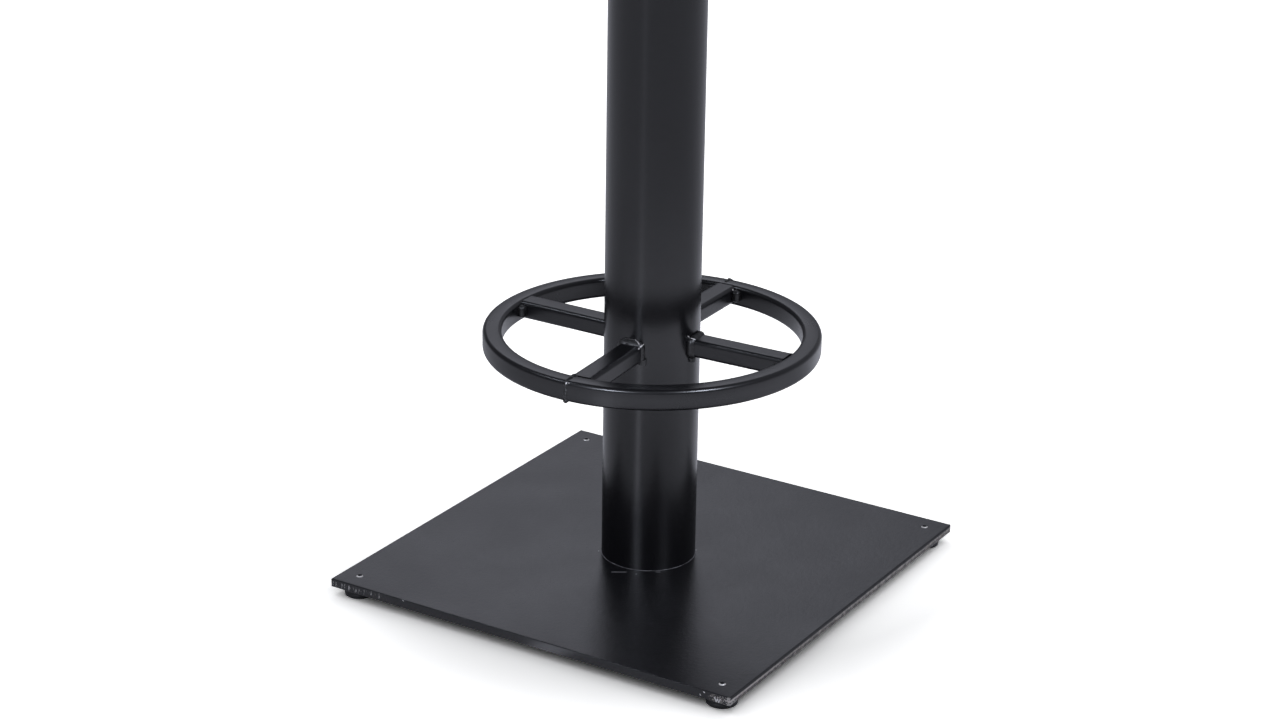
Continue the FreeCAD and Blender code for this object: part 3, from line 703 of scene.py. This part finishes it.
def layBead(name, paths, look, replaced, degrees=0.0, height=0.0, **sizes):  # the paths are turned and raised
    paths = [(aroundZ(path, degrees, height), *rest) for path, *rest in paths]
    bead = grow(name, pathObject(paths), beadTree, Finish=finish[look], **sizes)
    finishPiece(bead, "root", look, "painted_weld", replaced)


# base plate

plate = {"edgeRound": 0.0010, "holeRadius": 0.00405, "boltRadius": 0.0055, "boltSink": 0.0095,
         "boltCircle": 0.030, "sidePieces": 8}
boltPlaces = circle(plate["boltCircle"], count=4)


def squareLoop(inset):
    reach = plateHalf - inset
    corners = [(-reach, -reach), (reach, -reach), (reach, reach), (-reach, reach)]
    return divided(corners, 2 * reach / plate["sidePieces"])


def buildBasePlate():
    walls = [edgeLevels(squareLoop, plateTop, plateBottom, plate["edgeRound"])]
    for across in (-glideReach, glideReach):
        for along in (-glideReach, glideReach):
            rim = circle(plate["holeRadius"], (across, along))
            walls.append([(rim, plateTop), (rim, plateBottom)])
    for centre in boltPlaces:
        narrow, wide = circle(plate["boltRadius"], centre), circle(plate["boltSink"], centre)
        seat = plateBottom + plate["boltSink"] - plate["boltRadius"]
        walls.append([(narrow, plateTop), (narrow, seat), (wide, plateBottom)])
    finishPiece(holedPlate("basePlate", walls), "root", "plate", "black_powder_coat", "base_plate")


buildBasePlate()
print("base plate")


# column and the thin uneven line of coat round its foot

column = {"radius": 0.052, "wall": 0.003, "rows": (0.25, 0.60), "segments": 192,
          "seam": 0.00044, "seamStandoff": 0.0002, "seamSegments": 240}


def buildColumn():
    low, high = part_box("column_tube")
    outer, inner = column["radius"], column["radius"] - column["wall"]
    profile = [(outer, height) for height in (low.z, *column["rows"], high.z)]
    profile += [(inner, high.z), (inner, low.z)]
    tube = skin("columnTube", turned(profile, count=column["segments"]), closed=True)
    finishPiece(tube, "root", "powderCoat", "black_powder_coat", "column_tube")


def buildFootLine():
    line = circle(column["radius"] + column["seamStandoff"], count=column["seamSegments"])
    line = raised(line, plateTop + column["seamStandoff"])
    line = grow("columnFootLine", pathObject([(line, True)]), beadTree, Finish=finish["rubbed"], Seed=4.0,
                Radius=column["seam"], Unevenness=0.75, Wander=0.00030, RippleSpacing=0.006, RippleDepth=0.1)
    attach(line, "root")


buildColumn()
buildFootLine()
print("column")


# foot ring: two rolled halves, their butt welds, four coped spokes and the welds at both ends of each

ring = {"outside": 0.183, "tubeWidth": 0.021, "tubeHeight": 0.0232, "tubeCorner": 0.0045, "turn": 2.3,
        "steps": 150, "seamBead": 0.0029, "seamSunk": 0.0017, "seamGap": 0.0015,
        "seamLumps": {-90.0: [(0.0094, -0.0100, 0.0030), (-0.0070, 0.0104, 0.0036)],
                      90.0: [(0.0082, 0.0100, 0.0034)]}}
spoke = {"width": 0.025, "height": 0.020, "corner": 0.0042, "embed": 0.0004,  # by side: angle, turn, shift
         "front": (-90.0, 3.7, 0.0037), "right": (0.0, 2.0, 0.0015), "back": (90.0, 1.2, -0.0005),
         "left": (180.0, -0.2, -0.0007), "rows": (0.0, 0.03, 0.25, 0.5, 0.75, 0.97, 1.0), "spacing": 0.002}
rootWeld = {"bead": 0.0056, "out": -0.0026, "spacing": 0.0015, "lumpReach": 0.0006,
            "reach": {"front": 0.0018, "right": 0.0018, "back": 0.0, "left": -0.0026},
            "shift": {"front": (-0.0014, 0.0006)},
            "lumps": {"front": [(0.0145, -0.0098, 0.0048)], "back": [(-0.0120, -0.0100, 0.0042)],
                      "right": [(-0.0050, -0.0125, 0.0046), (0.0066, 0.0096, 0.0032)]}}
tipWeld = {"bead": 0.0055, "aside": 0.0027, "short": 0.0030, "inward": 0.0016}
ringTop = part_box("foot_ring_half_right")[1].z
ringMiddle = ring["outside"] - ring["tubeWidth"] / 2
ringInside = ring["outside"] - ring["tubeWidth"]
ringHeight = ringTop - ring["tubeHeight"] / 2
spokeHeight = ringTop - spoke["height"] / 2


def buildRingHalf(name, start, replaced):
    half = grow(name, pathObject([]), rolledTubeTree, Finish=finish["ringCoat"], MiddleRadius=ringMiddle,
                TubeWidth=ring["tubeWidth"], TubeHeight=ring["tubeHeight"], TubeCorner=ring["tubeCorner"],
                StartAngle=math.radians(start + ring["turn"]), Height=ringHeight, Steps=ring["steps"])
    tidyMesh(half.data)
    finishPiece(half, "root", "ringCoat", "black_powder_coat", replaced)


def buildRingSeam(name, angle, replaced):  # round the outer faces; the inner face is left to the spoke
    width, height = ring["tubeWidth"] - 2 * ring["seamSunk"], ring["tubeHeight"] - 2 * ring["seamSunk"]
    section = roundedRectangle(width, height, ring["tubeCorner"] - ring["seamSunk"] / 2, 5)
    inside = [k for k, (across, up) in enumerate(section) if across < -width / 2 + ring["seamGap"]]
    section = section[inside[-1] + 1:] + section[:inside[0]]
    paths = [([(ringMiddle + across, 0, up) for across, up in section], False)]
    for across, up, size in ring["seamLumps"][angle]:
        reaches = [size * 0.3 * share for share in (-1, -0.5, 0, 0.5, 1)]
        lump = [(ringMiddle + across + reach, 0, up + reach) for reach in reaches]
        paths.append((lump, False, size / ring["seamBead"] - 1.0))
    layBead(name, paths, "nickedWeld", replaced, angle + ring["turn"], ringHeight, Radius=ring["seamBead"],
            Seed=abs(angle), Unevenness=0.16, Wander=0.0005, RippleDepth=0.18, EndTaper=1.0)


def buildSpoke(side):
    angle, turn, shift = spoke[side]
    section = roundedRectangle(spoke["width"], spoke["height"], spoke["corner"], 6, (shift, 0.0))
    section = divided(section, spoke["spacing"])
    loops = []
    for share in spoke["rows"]:
        loop = []
        for across, up in section:
            start = math.sqrt(column["radius"] ** 2 - across ** 2) - spoke["embed"]
            end = math.sqrt(ringInside ** 2 - across ** 2) + spoke["embed"]
            loop.append((start + (end - start) * share, across, up))
        loops.append(aroundZ(loop, angle + turn, spokeHeight))
    bar = skin("spoke" + side.capitalize(), loops)
    finishPiece(bar, "root", "spokeCoat", "black_powder_coat", f"foot_ring_spoke_{side}")


def buildRootWeld(side):  # once round the spoke, on the column
    angle, turn, shift = spoke[side]
    out, reach = rootWeld["out"], rootWeld["reach"][side]
    aside, above = rootWeld["shift"].get(side, (0.0, 0.0))

    def onColumn(across, up, reach):
        return math.sqrt(column["radius"] ** 2 - across ** 2) + reach, across, up

    section = roundedRectangle(spoke["width"] + 2 * out, spoke["height"] + 2 * out, spoke["corner"] + out, 4,
                               (shift + aside, above))
    paths = [([onColumn(*point, reach) for point in divided(section, rootWeld["spacing"])], True)]
    for across, up, size in rootWeld["lumps"].get(side, []):  # each a short thick bead
        ups = [up + size * share for share in (-0.7, -0.35, 0.0, 0.35, 0.7)]
        lump = [onColumn(across, up, rootWeld["lumpReach"]) for up in ups]
        paths.append((lump, False, size / rootWeld["bead"] - 1.0))
    layBead("rootWeld" + side.capitalize(), paths, "paleRootWeld" if side == "front" else "darkRootWeld",
            f"spoke_root_weld_{side}", angle + turn, spokeHeight, Radius=rootWeld["bead"],
            Seed=10.0 + angle / 90, Unevenness=0.11, Wander=0.0009, RippleDepth=0.03, RippleSpacing=0.0060)


def buildTipWelds(side):  # upright, in both corners between the spoke and the ring
    angle, turn, shift = spoke[side]
    reach, aside = spoke["height"] / 2 - tipWeld["short"], spoke["width"] / 2 + tipWeld["aside"]
    paths = []
    for across in (shift - aside, shift + aside):
        depth = math.sqrt(ringInside ** 2 - across ** 2) - tipWeld["inward"]
        paths.append(([(depth, across, reach * (k / 4 - 1)) for k in range(9)], False))
    layBead("tipWelds" + side.capitalize(), paths, "nickedWeld", f"spoke_tip_welds_{side}", angle + turn,
            spokeHeight, Radius=tipWeld["bead"], Seed=20.0 + angle / 90, Unevenness=0.08, Wander=0.0003,
            RippleDepth=0.04, RippleSpacing=0.003, EndTaper=1.0)


buildRingHalf("ringHalfRight", -90.0, "foot_ring_half_right")
buildRingHalf("ringHalfLeft", 90.0, "foot_ring_half_left")
buildRingSeam("ringSeamFront", -90.0, "ring_seam_weld_front")
buildRingSeam("ringSeamBack", 90.0, "ring_seam_weld_back")
for side in ("front", "right", "back", "left"):
    buildSpoke(side)
    buildRootWeld(side)
    buildTipWelds(side)
print("foot ring")


# fasteners

bolt = {"head": 0.0095, "shank": 0.005, "socket": 0.003, "socketDepth": 0.003, "recess": 0.0004, "tip": 0.025,
        "headEdge": 0.0003, "tipEdge": 0.001}
screw = {"headHeight": 0.003, "shank": 0.0025, "tip": 0.022, "tipLength": 0.0025, "recess": 0.0018,
         "crossTop": (0.0030, 0.0007), "crossFloor": (0.0016, 0.0005), "segments": 40,  # arm, half width
         "valleyFrom": 0.55, "valley": 1.9,  # radians from an arm's middle, and half widths
         "crown": [(0.0035, 0.0), (0.0042, 0.0003), (0.0047, 0.0009), (0.0050, 0.0018)]}


def crossLoop(arm, width, count):  # the recess of a cross-head screw
    loop = []
    for k in range(count):
        angle = math.tau * k / count
        folded = abs((angle + math.pi / 4) % (math.pi / 2) - math.pi / 4)
        reach = min(arm, width / max(math.sin(folded), 1e-6))
        if folded > screw["valleyFrom"]:  # between two arms
            reach = min(reach, width * screw["valley"] / math.cos(folded))
        loop.append((reach * math.cos(angle), reach * math.sin(angle)))
    return loop


def plant(name, shape, places, height, seed, replaced):  # one fastener at each place
    points = [([point], False) for point in raised(places, height)]
    fasteners = grow(name, pathObject(points), fastenerTree, Fastener=shape, Seed=seed, Finish=finish["zinc"])
    bpy.data.objects.remove(shape)
    finishPiece(fasteners, "root", "zinc", "zinc_steel", replaced)


def buildBolts():
    recess, shank, tip, edge = bolt["recess"], bolt["shank"], bolt["tip"], bolt["tipEdge"]
    head, floor = bolt["head"] - recess, recess + bolt["socketDepth"]
    profile = [(0, floor), (bolt["socket"], floor, 6), (bolt["socket"], recess, 6),
               (head - bolt["headEdge"], recess), (head, recess + bolt["headEdge"]),
               (shank, bolt["head"] - shank), (shank, tip - edge), (shank - edge, tip), (0, tip)]
    plant("columnBolts", skin("boltShape", turned(profile)), boltPlaces, plateBottom, 5, "column_bolts")


topPlate = {"half": 0.150, "corner": 0.025, "edgeRound": 0.0006, "hole": 0.0031, "screwReach": 0.130,
            "weldBead": 0.0028, "weldOff": 0.0012, "weldSegments": 200}
low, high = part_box("top_plate")
topPlateLow, topPlateHigh = low.z, high.z
screwPlaces = [(topPlate["screwReach"] * across, topPlate["screwReach"] * along)
               for across in (-1, 0, 1) for along in (-1, 0, 1) if across or along]


def buildScrews():
    count, shank, low = screw["segments"], screw["shank"], -screw["headHeight"]
    floor = low + screw["recess"]
    rim = [(radius, low + rise) for radius, rise in screw["crown"]]
    rim += [(screw["crown"][-1][0], 0.0), (shank, 0.0), (shank, screw["tip"] - screw["tipLength"])]
    loops = [[(0, 0, floor)], raised(crossLoop(*screw["crossFloor"], count), floor),
             raised(crossLoop(*screw["crossTop"], count), low)]
    loops += turned(rim + [(0, screw["tip"])], count=count)
    plant("tabletopScrews", skin("screwShape", loops), screwPlaces, topPlateLow, 9, "tabletop_screws")


buildBolts()
buildScrews()
print("fasteners: bolts", len(boltPlaces), "screws", len(screwPlaces))


# top plate and its weld

def roundedSquare(inset):
    side = 2 * (topPlate["half"] - inset)
    return roundedRectangle(side, side, topPlate["corner"] - inset, 12)


def buildTopPlate():
    walls = [edgeLevels(roundedSquare, topPlateHigh, topPlateLow, topPlate["edgeRound"])]
    for centre in screwPlaces:
        rim = circle(topPlate["hole"], centre, 32)
        walls.append([(rim, topPlateHigh), (rim, topPlateLow)])
    finishPiece(holedPlate("topPlate", walls), "root", "powderCoat", "black_powder_coat", "top_plate")


def buildTopPlateWeld():
    off = topPlate["weldOff"]
    line = raised(circle(column["radius"] + off, count=topPlate["weldSegments"]), topPlateLow - off)
    layBead("topPlateWeld", [(line, True)], "weld", "top_plate_weld", Radius=topPlate["weldBead"], Seed=31.0,
            Unevenness=0.14, Wander=0.0005, RippleDepth=0.22, RippleSpacing=0.0032)


buildTopPlate()
buildTopPlateWeld()
print("top plate")


# tabletop: upper and underside laminate, and the edge band round them

top = {"radius": 0.350, "band": 0.002, "bandRound": 0.0012, "gap": 0.0001, "rows": (0.0, 0.05, 0.2),
       "segments": 240}
boardRadius = top["radius"] - top["band"]


def buildLayer(name, node, look, slotName):
    under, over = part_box(node)
    reaches = (*top["rows"], boardRadius - top["gap"])
    profile = [(radius, over.z) for radius in reaches] + [(radius, under.z) for radius in reversed(reaches)]
    finishPiece(skin(name, turned(profile, count=top["segments"])), "root", look, slotName, node)


def buildEdgeBand():
    low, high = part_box("tabletop_edge_band")
    profile = softened([(boardRadius, low.z, 0), (top["radius"], low.z, top["bandRound"]),
                        (top["radius"], high.z, top["bandRound"]), (boardRadius, high.z, 0)])
    band = skin("tabletopEdgeBand", turned(profile, count=top["segments"]), closed=True)
    finishPiece(band, "root", "edgeBand", "black_edge_band", "tabletop_edge_band")


buildLayer("tabletopLaminate", "tabletop_laminate", "wood", "wood_laminate")
buildLayer("tabletopUnderside", "tabletop_laminate_underside", "backing", "black_laminate")
buildEdgeBand()
print("tabletop")


# glides: a pad that slides with its height, and a threaded stud that turns in it

glide = {"padRadius": 0.0166, "padHeight": 0.0085, "padEdge": 0.0012, "padStep": (0.0042, 0.0046, 0.0004),
         "bore": 0.00405, "boreEdge": 0.0003, "pocket": 0.00805, "pocketGap": 0.00005, "padSegments": 72,
         "seat": 0.003, "flange": 0.008, "flangeThickness": 0.002, "flangeEdge": 0.0003, "stud": 0.004,
         "thread": 0.00055, "threadStart": 0.0002, "pitch": 0.00125, "rowsPerPitch": 8, "chamfer": 0.0014,
         "socket": 0.002, "socketDepth": 0.003, "socketEdge": (0.0002, 0.0003), "drillPoint": 0.0008,
         "threadFlanks": (1.15, 1.3), "segments": 48}
shoulder = glide["seat"] + glide["flangeThickness"]


def buildPad(corner, centre):
    wide, height, edge = glide["padRadius"], glide["padHeight"], glide["padEdge"]
    bore, pocket, seat, lip = glide["bore"], glide["pocket"], glide["seat"], shoulder + glide["pocketGap"]
    stepLow, stepHigh, inset = glide["padStep"]
    profile = softened([(0.0, 0.0, 0), (wide, 0.0, edge), (wide, stepLow, 0), (wide - inset, stepHigh, 0),
                        (wide - inset, height, edge), (bore, height, glide["boreEdge"]), (bore, lip, 0),
                        (pocket, lip, 0), (pocket, seat, 0), (0.0, seat, 0)])
    pad = skin("glidePad_" + corner, turned(profile, centre, glide["padSegments"]))
    finishPiece(pad, "glide_pad_" + corner, "nylon", "black_nylon", "glide_pad_" + corner)


def threadLoop(height, tip):
    loop = []
    flat, slope = glide["threadFlanks"]
    for k in range(glide["segments"]):
        angle = math.tau * k / glide["segments"]
        crest = 1 - abs(2 * ((height / glide["pitch"] - angle / math.tau) % 1.0) - 1)
        radius = glide["stud"] - glide["thread"] * min(1.0, max(0.0, flat - crest * slope))
        radius = min(radius, glide["stud"] - max(0.0, height - (tip - glide["chamfer"])))
        loop.append((radius * math.cos(angle), radius * math.sin(angle), height))
    return loop


def buildStud(corner, centre):
    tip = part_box("glide_stud_" + corner)[1].z
    seat, flange, edge = glide["seat"], glide["flange"], glide["flangeEdge"]
    loops = turned([(0, seat), (flange - edge, seat), (flange, seat + edge), (flange, shoulder),
                    (glide["stud"] - glide["thread"], shoulder)], count=glide["segments"])
    start = shoulder + glide["threadStart"]
    steps = int((tip - start) / glide["pitch"] * glide["rowsPerPitch"])
    loops += [threadLoop(start + (tip - start) * step / steps, tip) for step in range(steps + 1)]
    socket, floor = glide["socket"], tip - glide["socketDepth"]
    edge, depth = glide["socketEdge"]
    loops += turned([(socket + edge, tip), (socket, tip - depth, 6), (socket, floor, 6),
                     (0, floor - glide["drillPoint"])], count=glide["segments"])
    loops = [[(centre[0] + x, centre[1] + y, z) for x, y, z in loop] for loop in loops]
    finishPiece(skin("glideStud_" + corner, loops), "glide_stud_" + corner, "stud", "zinc_steel",
                "glide_stud_" + corner)


for corner, across, along in (("front_left", -1, -1), ("front_right", 1, -1), ("back_right", 1, 1),
                              ("back_left", -1, 1)):
    centre = (across * glideReach, along * glideReach)
    buildPad(corner, centre)
    buildStud(corner, centre)
print("glides")


# CAD nodes that stay as they are get their finish

for name, material in (("column_foot_disc", "powderCoat"), ("column_foot_weld", "weld"),
                       ("tabletop_core", "board")):
    slots = nodes[name].material_slots
    if not slots:
        nodes[name].data.materials.append(finish[material])
    slots[0].material = finish[material]


# floor, surroundings, lamps, camera

studio = {
    # floorSeen: the floor's white as the camera sees it, near the table's front and further off; the lower
    # near value is a painted shade
    "floorSide": 60.0, "floorColour": 0.80, "floorSeen": (1.36, 2.10), "floorSeenTint": (1.0, 0.985, 0.888),
    # floorNear, floorDip and floorFront paint light and shade onto the floor, seen in reflections and in the
    # light it bounces
    "floorNear": [(0.0, 0.72), (0.12, 0.72), (0.25, 1.05), (0.45, 1.35), (0.6, 1.6), (1.0, 1.6)],
    "floorFar": (0.95, 0.95),  # floorNear goes from X -1 to 1, floorFar from the back to the front
    "farFrom": (0.80, 1.15), "seenFrom": (0.26, 0.42),  # metres from the middle
    "frontWay": (0.52, 0.86), "frontSpan": (-0.2, 0.6), "frontReach": (0.60, 0.86),
    "floorFront": (0.65, 1.85),  # the strip in front of the table, close by and further out
    "floorDip": ((0.42, 0.48, 0.0), 0.60), "dipReach": (0.12, 0.30),
    "gleam": (2.5, 0.5), "gleamWay": (0.061, 0.998),  # near and far, and the way to the left softbox
    "gleamSide": (0.02, 0.12), "gleamStart": (0.20, 0.28), "gleamFade": (0.45, 0.90), "gleamLoss": 0.65,
    "dome": [(0.00, 0.05), (0.30, 0.20), (0.55, 0.85), (1.0, 0.95)], "tint": (0.94, 0.96, 1.08),
    "wall": [(0.00, 0.18), (0.28, 0.12), (0.362, 0.20), (0.44, 1.96), (0.50, 1.72), (0.62, 0.50),
             (0.78, 0.12)],
    "front": 0.10, "backRight": 0.30, "wallFacing": (123.4, 0.977, 0.997), "backFacing": (70.0, 0.1, 0.9)}


def floorShade(sheet):  # how the floor lights the table and shows in it, and where it looks whitest
    def shaded(level):
        return (studio["floorColour"] * level,) * 3

    # painted shade and light on the floor: dimmer close by on the left, a darker patch at floorDip, a
    # brighter strip out in front
    near = sheet.ramp([(place, shaded(level)) for place, level in studio["floorNear"]], sheet.x * 0.5 + 0.5)
    away = sheet.measure("LENGTH", sheet.place)
    toRight, toFront = studio["frontWay"]
    toFront = (sheet.x * toRight - sheet.y * toFront).step(*studio["frontSpan"])
    beside, beyond = studio["floorFront"]
    level = 1 + toFront * (away.step(*studio["frontReach"]) * (beyond - beside) + (beside - 1))
    place, dip = studio["floorDip"]
    outside = sheet.measure("DISTANCE", sheet.place, place).step(*studio["dipReach"])
    level = level * (1 - (1 - outside) * (1 - dip))
    # a painted sheen: a bright streak on the floor running toward the left softbox, brightest close to the
    # table
    sideways, ahead = studio["gleamWay"]
    gleam = abs(sheet.x * ahead + sheet.y * sideways) / (sheet.x * sideways - sheet.y * ahead).most(0.05)
    gleam = (1 - gleam.step(*studio["gleamSide"])) * (-sheet.y).step(*studio["gleamStart"])
    close, distant = studio["gleam"]
    level = level * (1 + gleam * (1 - away.step(*studio["gleamFade"]) * studio["gleamLoss"]) * close)
    near = sheet.colours(1.0, near, sheet.evenly(level), "MULTIPLY")
    far = sheet.colours(toFront, *(shaded(level) for level in studio["floorFar"]))
    far = sheet.colours(1.0, far, sheet.evenly(gleam * distant + 1), "MULTIPLY")
    colour = sheet.colours(away.step(*studio["farFrom"]), near, far)
    # the mask is 0 close to the front of the table, where the camera sees the floor painted dimmer
    return colour, away.step(*studio["seenFrom"]).most(1 - toFront * 2.0)


def makeFloor():
    mesh = bpy.data.meshes.new("floor")
    side = studio["floorSide"] / 2
    mesh.from_pydata([(-side, -side, 0), (side, -side, 0), (side, side, 0), (-side, side, 0)], [],
                     [(0, 1, 2, 3)])
    floor = linked("floor", mesh)
    sheet = Finish("floorPaint")
    shade, outer = floorShade(sheet)
    seen = (tuple(level * tint for tint in studio["floorSeenTint"]) for level in studio["floorSeen"])
    shade, white = (sheet.node("ShaderNodeBsdfDiffuse", None, {"Color": colour})
                    for colour in (shade, sheet.colours(outer, *seen)))
    shade = sheet.node("ShaderNodeMixShader", None,
                       {0: sheet.node("ShaderNodeLightPath").part("Is Camera Ray"), 1: shade, 2: white})
    below = sheet.node("ShaderNodeNewGeometry").part("Backfacing")  # from below, the floor is clear
    shade = sheet.node("ShaderNodeMixShader", None,
                       {0: below, 1: shade, 2: sheet.node("ShaderNodeBsdfTransparent")})
    sheet.node("ShaderNodeOutputMaterial", None, {"Surface": shade})
    mesh.materials.append(sheet.material)


def makeSurroundings():  # an even dome gives the light; reflections see a lit back wall and a dim front
    world = bpy.data.worlds.new("studio")
    bpy.context.scene.world = world
    world.use_nodes = True
    sheet = Sheet(world.node_tree)
    rays = sheet.node("ShaderNodeLightPath")
    way = sheet.node("ShaderNodeTexCoord").part("Generated")
    up = sheet.node("ShaderNodeSeparateXYZ", None, {0: way}).part("Z")
    flat = (1.001 - up * up).math("SQRT")

    def facing(degrees, low, high):
        side = (math.cos(math.radians(degrees)), math.sin(math.radians(degrees)), 0.0)
        level = sheet.measure("DOT_PRODUCT", way, side) / flat
        return ((level - low) / (high - low)).least(1.0).most(0.0)

    def greyRamp(stops):
        return sheet.ramp([(height, (level,) * 3) for height, level in stops], up)

    greys = ((studio[part],) * 3 for part in ("front", "backRight"))
    mirrored = sheet.colours(facing(*studio["backFacing"]), *greys)
    mirrored = sheet.colours(facing(*studio["wallFacing"]), mirrored, greyRamp(studio["wall"]))
    glow = sheet.colours(rays.part("Is Glossy Ray"), greyRamp(studio["dome"]), mirrored)
    glow = sheet.colours(1.0, glow, studio["tint"], "MULTIPLY")
    glow = sheet.colours(rays.part("Is Camera Ray"), glow, (1.0, 1.0, 1.0))
    glow = sheet.node("ShaderNodeBackground", None, {"Color": glow})
    sheet.node("ShaderNodeOutputWorld", None, {"Surface": glow})


lamps = {"colour": (0.90, 0.95, 1.10), "aim": (0, 0, 0.3), "softboxes": {  # place, side in metres, watts
    "leftSoftbox": ((0.14, -2.85, 1.95), 0.30, 60.0), "rightSoftbox": ((2.3, -0.84, 2.32), 0.30, 72.0),
    "sideSoftbox": ((-1.37, -1.05, 2.33), 0.20, 8.0)}}


def makeLamps():
    for name, (place, side, watts) in lamps["softboxes"].items():
        light = bpy.data.lights.new(name, "AREA")
        light.shape, light.size, light.energy = "SQUARE", side, watts
        light.color = lamps["colour"]
        lamp = linked(name, light)
        lamp.location = place
        lamp.rotation_euler = (Vector(lamps["aim"]) - Vector(place)).to_track_quat("-Z", "Y").to_euler()
        lamp.visible_diffuse = False


cameraPlace = {"location": (1.52851, -2.53088, 1.40758), "turn": (68.58028, -0.85827, 31.71084),
               "lens": 82.486, "sensor": 36.0}


def makeCamera():
    data = bpy.data.cameras.new("camera")
    data.lens, data.sensor_width = cameraPlace["lens"], cameraPlace["sensor"]
    camera = linked("camera", data)
    camera.location = cameraPlace["location"]
    camera.rotation_euler = [math.radians(angle) for angle in cameraPlace["turn"]]
    bpy.context.scene.camera = camera


makeFloor()
makeSurroundings()
makeLamps()
makeCamera()
bpy.context.scene.view_settings.view_transform = "Standard"
print("studio")
